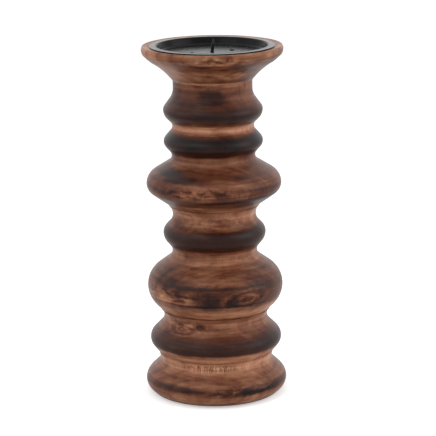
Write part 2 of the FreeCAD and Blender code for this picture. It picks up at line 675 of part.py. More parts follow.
# Floor, leaning wall and sloping flange of one sheet thickness, with its bends rounded
def makeDripPan():
    body = newBody("drip_pan")
    section = TurnedOutline(body, "section")
    section.start(None, "panFloorHeight")
    section.line("panFloorRadius", "panFloorHeight")
    floorCorner = section.place()
    section.line("panMouthRadius", "panMouthHeight")
    lipCorner = section.place()
    section.line("flangeRadius", "rimTopHeight")
    flangeEnd = section.place()
    floorLine, wallLine, flangeLine = range(3)

    sheetThickness = sizeOf("panSheet")
    floorNormal = FreeCAD.Vector(0, -1, 0)
    wallWay = (lipCorner - floorCorner).normalize()
    wallNormal = FreeCAD.Vector(wallWay.y, -wallWay.x, 0)
    flangeWay = (flangeEnd - lipCorner).normalize()
    flangeNormal = FreeCAD.Vector(flangeWay.y, -flangeWay.x, 0)

    def underCorner(corner, oneNormal, otherNormal):
        return corner + (oneNormal + otherNormal) * (sheetThickness / (1 + oneNormal.dot(otherNormal)))

    underEnd = flangeEnd + flangeNormal * sheetThickness
    underLip = underCorner(lipCorner, wallNormal, flangeNormal)
    underFloor = underCorner(floorCorner, floorNormal, wallNormal)
    edgeLine = section.looseLine(flangeEnd, underEnd)
    underFlange = section.looseLine(underEnd, underLip)
    outerWall = section.looseLine(underLip, underFloor)
    section.looseLine(underFloor, FreeCAD.Vector(0, sizeOf("panUnderHeight"), 0))
    section.arrive(None, "panUnderHeight")
    section.close()

    sketch = section.sketch
    underFloorLine = outerWall + 1
    sketch.addConstraint(Sketcher.Constraint("Horizontal", underFloorLine))
    sketch.addConstraint(Sketcher.Constraint("Perpendicular", edgeLine, flangeLine))
    bind(sketch, Sketcher.Constraint("Distance", edgeLine, sheetThickness), "sizes.panSheet")
    sketch.addConstraint(Sketcher.Constraint("Parallel", underFlange, flangeLine))
    sketch.addConstraint(Sketcher.Constraint("Parallel", outerWall, wallLine))
    wallThickness = Sketcher.Constraint("Distance", floorLine, 2, outerWall, sheetThickness)
    bind(sketch, wallThickness, "sizes.panSheet")

    pressed = revolve(body, section)
    for name, corner, size in (
        ("cornerInside", floorCorner, "panCornerRound"),
        ("cornerOutside", underFloor, "panCornerOuterRound"),
        ("lipOutside", lipCorner, "panLipOuterRound"),
        ("lipInside", underLip, "panLipRound"),
    ):
        pressed = dressEdges(body, "Fillet", name, pressed, [(corner.x, corner.y)], size)
    pocket(body, "pinHole", circleSketch(body, "pinCircle", "pinHoleRadius", "panFloorHeight"))
    hole = circleSketch(
        body, "screwCircle", "screwHoleRadius", "panFloorHeight", "screwPlaceX", "screwPlaceY")
    repeatRound(body, "screwHoles", pocket(body, "screwHole", hole), "screwCount")
    return body


# A pointed pin with a flat head and a stepped seat, leaning over towards +X
def makePricket():
    body = newBody("pricket")
    outline = TurnedOutline(body, "outline")
    outline.start(None, None)
    outline.line("pinHeadRadius", None)
    outline.line("pinHeadRadius", "pinHeadThickness")
    outline.line("pinStepRadius", "pinHeadThickness")
    outline.line("pinStepRadius", "pinStepEnd")
    outline.line("pinRadius", "pinStepEnd")
    outline.line("pinRadius", "pinShoulder")
    outline.line("pinTipRadius", "pinLength")
    outline.line(None, "pinLength")
    outline.close()
    revolve(body, outline)
    upright = FreeCAD.Vector(0, 1, 0)
    body.Placement = FreeCAD.Placement(FreeCAD.Vector(), FreeCAD.Rotation(upright, sizeOf("pinLean")))
    body.setExpression("Placement.Rotation.Angle", "sizes.pinLean")
    body.setExpression("Placement.Base.x", "sizes.pinBaseShift")
    body.setExpression("Placement.Base.z", "sizes.pinBaseHeight")
    return body


# Round-headed screws, evenly spaced round the pin, kept together as one group
def makePanScrews():
    screws = []
    for number in range(int(sizeOf("screwCount"))):
        body = newBody(f"pan_screw_{number + 1}")
        outline = TurnedOutline(body, "outline")
        outline.start(None, None)
        outline.line("screwTipRadius", None)
        outline.line("screwShankRadius", "screwPoint")
        outline.line("screwShankRadius", "screwLength")
        outline.line("screwHeadRadius", "screwLength")
        outline.dome("screwTotal")
        outline.close()
        revolve(body, outline)
        bearing = f"(sizes.screwAngle + 360 * {number} / sizes.screwCount) * 1 deg"
        body.setExpression("Placement.Base.x", f"sizes.screwCircleRadius * cos({bearing})")
        body.setExpression("Placement.Base.y", f"sizes.screwCircleRadius * sin({bearing})")
        body.setExpression("Placement.Base.z", "sizes.screwBaseHeight")
        screws.append(body)
    group = document.addObject("Part::Compound", "pan_screws")
    group.Label = "pan_screws"
    group.Links = screws
    return group


# A round felt pad under the foot, one quarter turn on from the last
def makeFeltPad(label, quarter):
    body = newBody(label)
    disc = makePad(body, "padRadius", "padThickness")
    dressEdges(body, "Chamfer", "worn", disc, [(sizeOf("padRadius"), 0)], "padEdgeBreak")
    body.setExpression("Placement.Base.x", f"sizes.padCircleRadius * cos({quarter} * 90 deg)")
    body.setExpression("Placement.Base.y", f"sizes.padCircleRadius * sin({quarter} * 90 deg)")
    return body


pieces = [
    makeBaseColumn(),
    makeMiddleColumn(),
    makeUpperColumn(),
    makeTopCup(),
    makeDowel("lower_dowel", "columnDowelLength", "lowerDowelBase"),
    makeDowel("middle_dowel", "columnDowelLength", "middleDowelBase"),
    makeDowel("upper_dowel", "upperDowelLength", "upperDowelBase"),
    makeDripPan(),
    makePricket(),
    makePanScrews(),
]
for quarter, side in enumerate(("right", "back", "left", "front")):
    pieces.append(makeFeltPad(f"felt_pad_{side}", quarter))
document.recompute()

faults = [item.Label for item in document.Objects if {"Invalid", "Error"} & set(item.State)]
for piece in pieces:
    if piece.Shape.isNull() or not piece.Shape.isValid():
        faults.append(piece.Label)
if faults:
    raise ValueError("failed: " + ", ".join(faults))

os.makedirs("parts", exist_ok=True)
for piece in pieces:
    piece.Shape.exportStep(os.path.join("parts", piece.Label + ".step"))
    box = piece.Shape.BoundBox
    print(f"{piece.Label}: {len(piece.Shape.Solids)} solid, {piece.Shape.Volume:.0f} mm3, "
          f"Z {box.ZMin:.2f} to {box.ZMax:.2f}, radius {max(box.XMax, box.YMax):.2f}")
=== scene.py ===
# Pricket candle stand: stained turned wood, a satin black pan, a pointed pin and felt feet, in a pale studio

import json
import math

import bmesh
import bpy
from mathutils import Euler, Matrix, Quaternion, Vector, noise


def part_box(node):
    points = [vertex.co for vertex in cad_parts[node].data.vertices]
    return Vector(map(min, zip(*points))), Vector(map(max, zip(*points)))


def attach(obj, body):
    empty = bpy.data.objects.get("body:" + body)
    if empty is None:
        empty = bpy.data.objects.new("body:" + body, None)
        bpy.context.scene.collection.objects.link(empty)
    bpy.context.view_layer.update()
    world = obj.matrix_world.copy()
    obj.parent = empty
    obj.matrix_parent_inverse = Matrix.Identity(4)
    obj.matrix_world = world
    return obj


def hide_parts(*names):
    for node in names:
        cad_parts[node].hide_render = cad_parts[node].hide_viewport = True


mm = 0.001

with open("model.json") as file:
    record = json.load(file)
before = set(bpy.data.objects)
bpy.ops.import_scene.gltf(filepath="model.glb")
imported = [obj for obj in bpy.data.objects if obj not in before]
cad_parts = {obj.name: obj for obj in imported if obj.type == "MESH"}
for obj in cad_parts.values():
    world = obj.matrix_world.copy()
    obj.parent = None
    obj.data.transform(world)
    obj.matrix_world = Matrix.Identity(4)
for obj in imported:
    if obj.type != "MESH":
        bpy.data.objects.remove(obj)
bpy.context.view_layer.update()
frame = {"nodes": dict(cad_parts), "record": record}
print("stage: frame loaded")


# Colours and node graphs

def paint(red, green, blue):
    # a linear colour from display values of 0 to 255, by the sRGB curve
    def linear(value):
        share = value / 255
        return share / 12.92 if share <= 0.04045 else ((share + 0.055) / 1.055) ** 2.4
    return (linear(red), linear(green), linear(blue), 1.0)


class Graph:
    # adds nodes to one tree and returns sockets that can be passed on

    def __init__(self, tree):
        self.tree = tree

    def fill(self, socket, value):
        if isinstance(value, bpy.types.NodeSocket):
            self.tree.links.new(value, socket)
        else:
            socket.default_value = value

    def fillAll(self, node, inputs):
        for name, value in inputs.items():
            self.fill(node.inputs[name], value)

    def add(self, kind, inputs=None, **settings):
        node = self.tree.nodes.new(kind)
        for name, value in settings.items():
            setattr(node, name, value)
        self.fillAll(node, inputs or {})
        return node

    def math(self, operation, *values):
        inputs = dict(enumerate(values))
        return self.add("ShaderNodeMath", inputs, operation=operation).outputs[0]

    def vector(self, operation, *values):
        node = self.add("ShaderNodeVectorMath", dict(enumerate(values)), operation=operation)
        return node.outputs["Value" if operation in ("LENGTH", "DOT_PRODUCT") else "Vector"]

    def scaled(self, place, x, y, z):
        return self.vector("MULTIPLY", place, (x, y, z))

    def sized(self, place, size):
        inputs = {"Vector": place, "Scale": size}
        return self.add("ShaderNodeVectorMath", inputs, operation="SCALE").outputs["Vector"]

    def plus(self, value, extra, share):
        # value + extra * share
        return self.math("MULTIPLY_ADD", extra, share, value)

    def centred(self, value, middle=0.5):
        return self.math("SUBTRACT", value, middle)

    def split(self, place):
        return self.add("ShaderNodeSeparateXYZ", {"Vector": place}).outputs

    def join(self, x, y, z):
        return self.add("ShaderNodeCombineXYZ", {"X": x, "Y": y, "Z": z}).outputs["Vector"]

    def noise(self, place, scale, detail=2.0, roughness=0.5):
        # scale is how many humps there are to a mm: one number, or one for each axis
        if isinstance(scale, tuple):
            place, scale = self.scaled(place, *scale), 1.0
        inputs = {"Vector": place, "Scale": scale, "Detail": detail, "Roughness": roughness}
        return self.add("ShaderNodeTexNoise", inputs)

    def level(self, value, low, high, start=0.0, end=1.0, smooth=True):
        kind = "SMOOTHSTEP" if smooth else "LINEAR"
        inputs = {"Value": value, "From Min": low, "From Max": high, "To Min": start, "To Max": end}
        return self.add("ShaderNodeMapRange", inputs, interpolation_type=kind).outputs["Result"]

    def spread(self, noise, start, end):
        # most of a noise lies between 0.3 and 0.7
        return self.level(noise, 0.3, 0.7, start, end, smooth=False)

    def ramp(self, factor, stops):
        node = self.add("ShaderNodeValToRGB", {"Fac": factor})
        elements = node.color_ramp.elements
        while len(elements) < len(stops):
            elements.new(0.5)
        for element, (place, value) in zip(elements, stops):
            element.position = place
            element.color = value if isinstance(value, tuple) else (value, value, value, 1.0)
        return node.outputs["Color"]

    def blend(self, factor, first, second):
        inputs = {0: factor, 6: first, 7: second}  # a Mix node's sockets for colours
        node = self.add("ShaderNodeMix", data_type="RGBA")
        self.fillAll(node, inputs)
        return node.outputs[2]

    def group(self, tree, inputs):
        return self.add("ShaderNodeGroup", inputs, node_tree=tree).outputs


def newGroup(name, inputs, outputs, made="NodeSocketFloat"):
    # a shader node group with named sockets: its tree, a graph on it, its inputs and its end node
    tree = bpy.data.node_groups.new(name, "ShaderNodeTree")
    for label, value in inputs.items():
        kind = "NodeSocketVector" if isinstance(value, tuple) else "NodeSocketFloat"
        tree.interface.new_socket(label, in_out="INPUT", socket_type=kind).default_value = value
    for label in outputs:
        tree.interface.new_socket(label, in_out="OUTPUT", socket_type=made)
    graph = Graph(tree)
    start = graph.add("NodeGroupInput").outputs
    end = graph.add("NodeGroupOutput")
    return tree, graph, start, end


def newMaterial(name):
    # a material with a graph on it, its shader, and the place on the object in mm
    material = bpy.data.materials.new(name)
    material.use_nodes = True
    graph = Graph(material.node_tree)
    shader = material.node_tree.nodes["Principled BSDF"]
    place = graph.add("ShaderNodeTexCoord").outputs["Object"]
    return material, graph, shader, graph.scaled(place, 1 / mm, 1 / mm, 1 / mm)


def finishBump(graph, shader, height, relief=1.0):
    # height times relief is in mm
    bump = graph.add("ShaderNodeBump", {"Height": height, "Strength": 1.0, "Distance": relief * mm})
    graph.fill(shader.inputs["Normal"], bump.outputs["Normal"])


# Effects that several materials share

ringFigure = {
    "slowBend": (0.026, 0.026, 0.009), "quickBend": (0.11, 0.11, 0.035), "quickShare": 0.28,
    "ripple": (0.4, 0.4, 0.12), "rippleShare": 0.3,
    "lateLine": [(0.0, 0.0), (0.45, 0.12), (0.72, 0.45), (0.86, 1.0), (0.92, 0.85), (1.0, 0.0)],
    "bandPace": 0.8, "bandDrift": (0.018, 0.018, 0.012),
    "facing": (0.3, 0.9, 0.25, 1.0),  # how far the rings face outward, and how much of the bands is left
}


def makeRingGroup():
    # growth rings round a pith that wanders: thin late lines, and wider bands of uneven tone that follow
    # the rings and calm down where the rings are cut edge on
    inputs = {"Place": (0, 0, 0), "Pith": (0, 80, 0), "Lean": 0.02, "Ring Width": 4.0, "Wander": 4.0,
              "Knot": (0, -60, 0), "Knot Reach": 10.0, "Knot Lift": 0.0}
    tree, graph, start, end = newGroup("growthRings", inputs, ["Latewood", "Bands"])
    place, half = start["Place"], (0.5, 0.5, 0.5)
    slow = graph.noise(place, ringFigure["slowBend"], 1.0).outputs["Color"]
    quick = graph.noise(place, ringFigure["quickBend"], 2.0).outputs["Color"]
    quick = graph.sized(graph.vector("SUBTRACT", quick, half), ringFigure["quickShare"])
    bend = graph.vector("ADD", graph.vector("SUBTRACT", slow, half), quick)
    bend = graph.sized(bend, graph.math("MULTIPLY", start["Wander"], 2.0))
    x, y, z = graph.split(graph.vector("ADD", graph.vector("SUBTRACT", place, start["Pith"]), bend))
    y = graph.plus(y, graph.split(place)["Z"], start["Lean"])
    radial = graph.join(x, y, 0.0)
    away = graph.vector("LENGTH", graph.vector("SUBTRACT", place, start["Knot"]))
    away = graph.math("DIVIDE", away, start["Knot Reach"])
    swell = graph.math("EXPONENT", graph.math("MULTIPLY", graph.math("POWER", away, 2.0), -1.0))
    reach = graph.plus(graph.vector("LENGTH", radial), swell, start["Knot Lift"])
    ripple = graph.noise(place, ringFigure["ripple"], 3.0).outputs["Fac"]
    phase = graph.plus(graph.math("DIVIDE", reach, start["Ring Width"]), ripple, ringFigure["rippleShare"])
    late = graph.ramp(graph.math("FRACT", phase), ringFigure["lateLine"])
    outward = graph.vector("NORMALIZE", graph.scaled(place, 1.0, 1.0, 0.0))
    facing = graph.math("ABSOLUTE", graph.vector("DOT_PRODUCT", outward, graph.vector("NORMALIZE", radial)))
    shown = graph.level(facing, *ringFigure["facing"])
    x, y, z = graph.split(graph.scaled(place, *ringFigure["bandDrift"]))
    along = graph.join(graph.math("MULTIPLY", phase, ringFigure["bandPace"]), graph.math("ADD", x, y), z)
    bands = graph.noise(along, 1.0, 2.0, 0.4).outputs["Fac"]
    bands = graph.math("MULTIPLY_ADD", graph.centred(bands), shown, 0.5)
    graph.fillAll(end, {"Latewood": late, "Bands": bands})
    return tree


fibreFigure = {
    "waves": (0.08, 0.08, 0.03), "waveReach": 3.0, "streaks": (1.1, 1.1, 0.07), "turned": (0.03, 0.03, 0.42),
    "poreEdge": (0.16, 0.34), "poreCells": (0.45, 0.6),
}


def makeFibreGroup():
    # fine streaks and short pores that run up the wood, and smears that run round it
    inputs = {"Place": (0, 0, 0), "Pore Width": 0.8, "Pore Length": 9.0}
    tree, graph, start, end = newGroup("fibres", inputs, ["Streaks", "Pores", "Turned Smear"])
    wavy = graph.noise(start["Place"], fibreFigure["waves"], 1.0).outputs["Color"]
    swing = fibreFigure["waveReach"]
    place = graph.vector("ADD", start["Place"], graph.scaled(wavy, swing, swing, 0.0))
    streaks = graph.noise(place, fibreFigure["streaks"], 4.0, 0.6).outputs["Fac"]
    x, y, z = graph.split(place)
    across = start["Pore Width"]
    cell = graph.join(graph.math("DIVIDE", x, across), graph.math("DIVIDE", y, across),
                      graph.math("DIVIDE", z, start["Pore Length"]))
    pores = graph.add("ShaderNodeTexVoronoi", {"Vector": cell, "Scale": 1.0}).outputs
    narrow = graph.level(pores["Distance"], *fibreFigure["poreEdge"], 1.0, 0.0)
    chosen = graph.level(graph.split(pores["Color"])["X"], *fibreFigure["poreCells"])
    smear = graph.noise(start["Place"], fibreFigure["turned"], 4.0, 0.55).outputs["Fac"]
    pores = graph.math("MULTIPLY", narrow, chosen)
    graph.fillAll(end, {"Streaks": streaks, "Pores": pores, "Turned Smear": smear})
    return tree


waverFigure = {"slow": (0.035, 0.035, 0.05), "quick": (0.2, 0.2, 0.3), "quickShare": 0.45}


def makeHeightGroup():
    # a height in mm that wavers, so that a band round the wood has a hand-made edge
    tree, graph, start, end = newGroup("waveringHeight", {"Place": (0, 0, 0), "Waver": 1.5}, ["Height"])
    place = start["Place"]
    slow = graph.centred(graph.noise(place, waverFigure["slow"], 2.0).outputs["Fac"])
    quick = graph.centred(graph.noise(place, waverFigure["quick"], 3.0).outputs["Fac"])
    both = graph.math("MULTIPLY", graph.plus(slow, quick, waverFigure["quickShare"]), 2.0)
    graph.fill(end.inputs["Height"], graph.plus(graph.split(place)["Z"], both, start["Waver"]))
    return tree


patchFigure = {"edge": (0.16, 0.16, 0.3), "whorlRings": 12.0}


def makePatchGroup():
    # a soft patch on the wall of a round piece, placed by bearing in degrees from the front and by height
    # in mm, and rings that lie round its middle
    inputs = {"Place": (0, 0, 0), "Bearing": 0.0, "Height": 0.0, "Half Width": 20.0, "Half Height": 4.0,
              "Slope": 0.0, "Softness": 0.5, "Ragged": 0.5}
    tree, graph, start, end = newGroup("patch", inputs, ["Mask", "Whorl"])
    place = start["Place"]
    x, y, z = graph.split(place)
    bearing = graph.math("DEGREES", graph.math("ARCTAN2", x, graph.math("MULTIPLY", y, -1.0)))
    turn = graph.math("WRAP", graph.math("SUBTRACT", bearing, start["Bearing"]), 180.0, -180.0)
    rise = graph.math("SUBTRACT", graph.math("SUBTRACT", z, start["Height"]),
                      graph.math("MULTIPLY", turn, start["Slope"]))
    across = graph.math("DIVIDE", turn, start["Half Width"])
    up = graph.math("DIVIDE", rise, start["Half Height"])
    rough = graph.centred(graph.noise(place, patchFigure["edge"], 3.0, 0.6).outputs["Fac"])
    away = graph.plus(graph.vector("LENGTH", graph.join(across, up, 0.0)),
                      rough, graph.math("MULTIPLY", start["Ragged"], 2.0))
    inner = graph.math("SUBTRACT", 1.0, start["Softness"])
    outer = graph.math("ADD", 1.0, start["Softness"])
    rings = graph.math("SINE", graph.math("MULTIPLY", away, patchFigure["whorlRings"]))
    graph.fillAll(end, {"Mask": graph.level(away, inner, outer, 1.0, 0.0), "Whorl": rings})
    return tree


wearFigure = {"curls": (0.12, 0.12, 0.24), "curlTwist": 0.5}


def makeWearGroup():
    # slow smears and fine specks from 0 to 1, and curled blotches from -1 to 1
    inputs = {"Place": (0, 0, 0), "Smear Size": 14.0, "Speck Size": 0.7}
    tree, graph, start, end = newGroup("wear", inputs, ["Smears", "Specks", "Blotches"])
    place = start["Place"]
    for label, size, detail in (("Smears", "Smear Size", 3.0), ("Specks", "Speck Size", 2.0)):
        tone = graph.noise(place, graph.math("DIVIDE", 1.0, start[size]), detail, 0.6).outputs["Fac"]
        graph.fill(end.inputs[label], tone)
    curled = graph.noise(place, wearFigure["curls"], 2.5)
    curled.inputs["Distortion"].default_value = wearFigure["curlTwist"]
    graph.fill(end.inputs["Blotches"], graph.level(curled.outputs["Fac"], 0.3, 0.7, -1.0, 1.0))
    return tree


def wearOn(graph, place, look):
    return graph.group(wearGroup, {
        "Place": place, "Smear Size": look["smearSize"], "Speck Size": look["speckSize"]})


ringGroup = makeRingGroup()
fibreGroup = makeFibreGroup()
heightGroup = makeHeightGroup()
patchGroup = makePatchGroup()
wearGroup = makeWearGroup()
print("stage: node groups made")


# Stained wood

stainTones = [
    (0.0, paint(206, 156, 122)), (0.2, paint(168, 118, 88)), (0.4, paint(128, 84, 59)),
    (0.6, paint(90, 51, 32)), (0.8, paint(48, 23, 14)), (1.0, paint(12, 6, 6)),
]
redTones = [
    (0.0, paint(210, 150, 122)), (0.2, paint(172, 112, 86)), (0.4, paint(132, 76, 54)),
    (0.6, paint(93, 42, 27)), (0.8, paint(52, 19, 13)), (1.0, paint(13, 5, 6)),
]


def makeToneGroup():
    # the colour of the wood from its darkness, stain and painted light and shade alike, and how far it leans
    # from golden brown to red brown
    inputs = {"Darkness": 0.4, "Redness": 0.3}
    tree, graph, start, end = newGroup("stainTone", inputs, ["Color"], "NodeSocketColor")
    golden = graph.ramp(start["Darkness"], stainTones)
    red = graph.ramp(start["Darkness"], redTones)
    graph.fill(end.inputs["Color"], graph.blend(start["Redness"], golden, red))
    return tree


toneGroup = makeToneGroup()


woodFinish = {
    "smearSize": 11.0, "speckSize": 0.8,  # mm
    "lateMiddle": 0.3,
    "ringsFade": (0.38, 0.62, 0.15, 1.0),  # smears over which the late lines fade, and how far
    "calm": (0.5, 0.85),           # darkness of the stain and its painted shade over which the grain is hidden
    "strokes": (0.38, 0.62),       # streaks over which a stroke goes from light to dark
    "redSmears": (0.35, 0.65),
    "ragged": 0.35,                # how torn the edge of a patch is
    "rubbed": 0.36, "dull": 0.48,  # roughness
    "darkSheen": -0.05,            # how it changes where the wood is darkest
    "even": {"Specular IOR Level": 0.1, "Coat Weight": 0.7, "Coat IOR": 1.2, "Coat Roughness": 0.38},
    "poreRelief": -0.05, "fibreRelief": 0.05, "ringRelief": 0.03, "speckRelief": 0.02,  # mm
}


def stainAndShadeBands(graph, place, look):
    # darkness by height: the stained bands, partly with painted shade under the beads and painted light in
    # the upward coves
    low, high = look["stainAndShade"][0][0], look["stainAndShade"][-1][0]
    height = graph.group(heightGroup, {"Place": place, "Waver": look["waver"]})["Height"]
    share = graph.level(height, low, high, smooth=False)
    return graph.ramp(share, [((at - low) / (high - low), value) for at, value in look["stainAndShade"]])


def grainTone(graph, look, rings, fibres, wear):
    # how far the grain darkens or lightens the stain
    late = graph.centred(rings["Latewood"], woodFinish["lateMiddle"])
    shown = graph.level(wear["Smears"], *woodFinish["ringsFade"])
    tone = graph.math("MULTIPLY", graph.math("MULTIPLY", late, look["ringContrast"]), shown)
    parts = ((rings["Bands"], "bandContrast"), (fibres["Turned Smear"], "smearContrast"),
             (fibres["Streaks"], "streakContrast"), (wear["Smears"], "cloud"))
    for part, contrast in parts:
        tone = graph.plus(tone, graph.centred(part), look[contrast])
    return graph.plus(tone, fibres["Pores"], look["poreDarkness"])


def addPatches(graph, place, look, fibres, wear, darkness):
    # the patches, each filled plainly or with blotches, strokes or the rings of a whorl: stain marks, and
    # painted light and shade at the sides and as highlights
    strokes = graph.level(fibres["Streaks"], *woodFinish["strokes"], -1.0, 1.0)
    for fill, bearing, at, halfWidth, halfHeight, slope, softness, gain in look["patches"]:
        patch = graph.group(patchGroup, {
            "Place": place, "Bearing": bearing, "Height": at,
            "Half Width": halfWidth, "Half Height": halfHeight,
            "Slope": slope, "Softness": softness, "Ragged": woodFinish["ragged"]})
        fills = {"plain": 1.0, "blotch": wear["Blotches"], "stroke": strokes, "whorl": patch["Whorl"]}
        darkness = graph.plus(darkness, graph.math("MULTIPLY", patch["Mask"], fills[fill]), gain)
    return graph.add("ShaderNodeClamp", {"Value": darkness}).outputs["Result"]


def woodMaterial(name, look):
    material, graph, shader, place = newMaterial(name)
    knot = look["knot"]
    rings = graph.group(ringGroup, {
        "Place": place, "Pith": look["pith"], "Lean": look["lean"], "Ring Width": look["ringWidth"],
        "Wander": look["wander"],
        "Knot": knot["place"], "Knot Reach": knot["reach"], "Knot Lift": knot["lift"]})
    fibres = graph.group(fibreGroup, {
        "Place": place, "Pore Width": look["poreWidth"], "Pore Length": look["poreLength"]})
    wear = wearOn(graph, place, woodFinish)
    stainAndShade = stainAndShadeBands(graph, place, look)
    calm = graph.level(stainAndShade, *woodFinish["calm"], 1.0, look["bandCalm"])
    darkness = graph.plus(stainAndShade, grainTone(graph, look, rings, fibres, wear), calm)
    darkness = addPatches(graph, place, look, fibres, wear, darkness)
    redness = graph.level(wear["Smears"], *woodFinish["redSmears"], 0.0, look["redness"])
    color = graph.group(toneGroup, {"Darkness": darkness, "Redness": redness})["Color"]
    rough = graph.spread(wear["Specks"], woodFinish["rubbed"], woodFinish["dull"])
    rough = graph.plus(rough, darkness, woodFinish["darkSheen"])
    graph.fillAll(shader, {"Base Color": color, "Roughness": rough, **woodFinish["even"]})
    relief = graph.math("MULTIPLY", fibres["Pores"], woodFinish["poreRelief"])
    relief = graph.plus(relief, fibres["Streaks"], woodFinish["fibreRelief"])
    relief = graph.plus(relief, rings["Latewood"], woodFinish["ringRelief"])
    finishBump(graph, shader, graph.plus(relief, wear["Specks"], woodFinish["speckRelief"]))
    return material


# Outlines read from the frame

seamGap = 1e-6  # metres from the plane of the seam


def seamPoint(vertex):
    return (round(vertex.co.x / mm, 3) + 0.0, round(vertex.co.z / mm, 3) + 0.0)


def seamOutline(name):
    # the ordered outline of a round node as (radius, height) in mm, and whether it is a closed loop
    mesh = frame["nodes"][name].data
    onSeam = {v.index: seamPoint(v) for v in mesh.vertices if abs(v.co.y) < seamGap and v.co.x > -seamGap}
    links = {}
    for edge in mesh.edges:
        first, second = (onSeam.get(index) for index in edge.vertices)
        if first and second and first != second:
            links.setdefault(first, set()).add(second)
            links.setdefault(second, set()).add(first)
    # flat faces may lack an edge on the seam: loose ends at one height are joined, or joined to the axis
    loose = sorted((p for p in links if len(links[p]) == 1 and p[0] > 0), key=lambda p: (p[1], p[0]))
    while loose:
        point = loose.pop(0)
        mate = next((p for p in loose if p[1] == point[1]), None)
        if mate:
            loose.remove(mate)
        else:
            mate = (0.0, point[1])
        links.setdefault(point, set()).add(mate)
        links.setdefault(mate, set()).add(point)
    ends = sorted((p for p in links if len(links[p]) == 1), key=lambda p: p[1])
    closed = not ends
    path = [ends[0] if ends else min(links)]
    while True:
        ahead = [p for p in links[path[-1]] if p not in path[-2:] and (p != path[0] or len(path) > 2)]
        if not ahead or ahead[0] == path[0]:
            break
        path.append(ahead[0])
    area = sum(a[0] * b[1] - b[0] * a[1] for a, b in zip(path, path[1:] + path[:1]))
    return (path if area > 0 else path[::-1]), closed


# Turning a piece from its outline

turning = {
    "segments": 320,
    "step": 0.75,         # mm between rings on the outside
    "innerStep": 3.0,     # mm between rings where little shows
    "straightRun": 2.5,   # mm; a longer stretch of the outline is straight
    "cornerAngle": 24.0,  # degrees
    "cornerEase": 0.35,   # mm
    "easeShare": 0.9,     # most of the nearest gap between rings that an eased corner takes up
    "innerEaseShare": 0.4,
    "cornerShares": (0.0, 0.3, 0.5, 0.7, 1.0),
    "sharpAngle": 38.0,   # degrees; a fold past this is shaded as an edge
    "axisGap": 0.001,     # mm from the axis that count as on it
    "showRadius": 30.0,   # mm; nearer the axis lie the bores
    "wave": 0.13,         # mm of hand-sanded unevenness
    "waveSize": 24.0,
    "ripple": 0.04,
    "rippleSize": 7.0,
    "toolMark": 0.012,
    "toolPitch": 1.1,
    "toolDrift": 0.5,     # mm that the tool marks wander with the wave
    "creaseWidth": 0.45,
    "creaseDrift": 0.3,
}


def turnAngle(before, point, after):
    first, second = point - before, after - point
    return abs(math.degrees(first.angle_signed(second, 0.0))) if first.length and second.length else 0.0


def runBetween(points, step):
    # evenly spaced points along one smooth run: a cubic through curved stretches, a line along straight ones
    slopes = []
    for index, point in enumerate(points):
        before, after = points[max(index - 1, 0)], points[min(index + 1, len(points) - 1)]
        first, second = (point - before).length, (after - point).length
        if first and second:
            slope = (point - before) / first * second + (after - point) / second * first
            slopes.append(slope / (first + second))
        else:
            slopes.append((after - before).normalized())
    made = [points[0]]
    for index in range(len(points) - 1):
        start, end = points[index], points[index + 1]
        length = (end - start).length
        straight = length > turning["straightRun"]
        count = max(1, round(length / step))
        for number in range(1, count + 1):
            share = number / count
            if straight:
                made.append(start.lerp(end, share))
                continue
            square, cube = share ** 2, share ** 3
            made.append(start * (2 * cube - 3 * square + 1) + end * (3 * square - 2 * cube)
                        + slopes[index] * length * (cube - 2 * square + share)
                        + slopes[index + 1] * length * (cube - square))
    return made


def finePath(points, closed, step):
    # the outline with eased corners and evenly spaced rings
    points = [Vector(p) for p in points]
    if closed:
        corner = max(range(len(points)), key=lambda i: turnAngle(
            points[i - 1], points[i], points[(i + 1) % len(points)]))
        points = points[corner:] + points[:corner + 1]
    corners = [0]
    for index in range(1, len(points) - 1):
        if turnAngle(points[index - 1], points[index], points[index + 1]) > turning["cornerAngle"]:
            corners.append(index)
    corners.append(len(points) - 1)
    runs = []
    for first, last in zip(corners, corners[1:]):
        run = points[first:last + 1]
        shown = min(run[0].x, run[-1].x) > turning["showRadius"] or step < turning["step"]
        runs.append(runBetween(run, step if shown else turning["innerStep"]))
    path = list(runs[0])
    for run in runs[1:]:
        outer = step >= turning["step"] and path[-1].x > turning["showRadius"]
        gap = min((path[-1] - path[-2]).length, (run[1] - run[0]).length)
        ease = min(turning["cornerEase"], turning["easeShare" if outer else "innerEaseShare"] * gap)
        corner = path.pop()
        enter = corner + (path[-1] - corner).normalized() * ease
        leave = corner + (run[1] - corner).normalized() * ease
        for share in turning["cornerShares"]:
            path.append(enter.lerp(corner, share).lerp(corner.lerp(leave, share), share))
        path.extend(run[1:])
    if closed:
        path.pop()
    return path


def around(radius, turn, height):
    return Vector((radius * math.cos(turn), radius * math.sin(turn), height))


def outwardOf(path, index, closed):
    before = path[index - 1] if index or closed else path[0]
    after = path[(index + 1) % len(path)] if closed else path[min(index + 1, len(path) - 1)]
    along = (after - before).normalized() if (after - before).length else Vector((1, 0))
    return Vector((along.y, -along.x))


def spun(name, path, closed, segments, depthAt=None):
    # a closed mesh turned from a path of (radius, height) in mm; depthAt gives how far inside it a point lies
    rings, places = [], []
    for index, point in enumerate(path):
        outward = outwardOf(path, index, closed)
        if point.x < turning["axisGap"]:
            rings.append([len(places)])
            places.append(Vector((0, 0, point.y)) * mm)
            continue
        ring = []
        for number in range(segments):
            turn = math.tau * number / segments
            depth = depthAt(point, turn) if depthAt else 0.0
            moved = point - outward * depth
            ring.append(len(places))
            places.append(around(moved.x, turn, moved.y) * mm)
        rings.append(ring)
    faces = []
    for low, high in zip(rings, rings[1:] + (rings[:1] if closed else [])):
        if len(low) == 1 and len(high) == 1:
            continue
        for number in range(segments):
            after = (number + 1) % segments
            if len(low) == 1:
                faces.append((low[0], high[after], high[number]))
            elif len(high) == 1:
                faces.append((low[number], low[after], high[0]))
            else:
                faces.append((low[number], low[after], high[after], high[number]))
    return newPiece(name, places, faces)


def newObject(name, data):
    made = bpy.data.objects.new(name, data)
    bpy.context.scene.collection.objects.link(made)
    return made


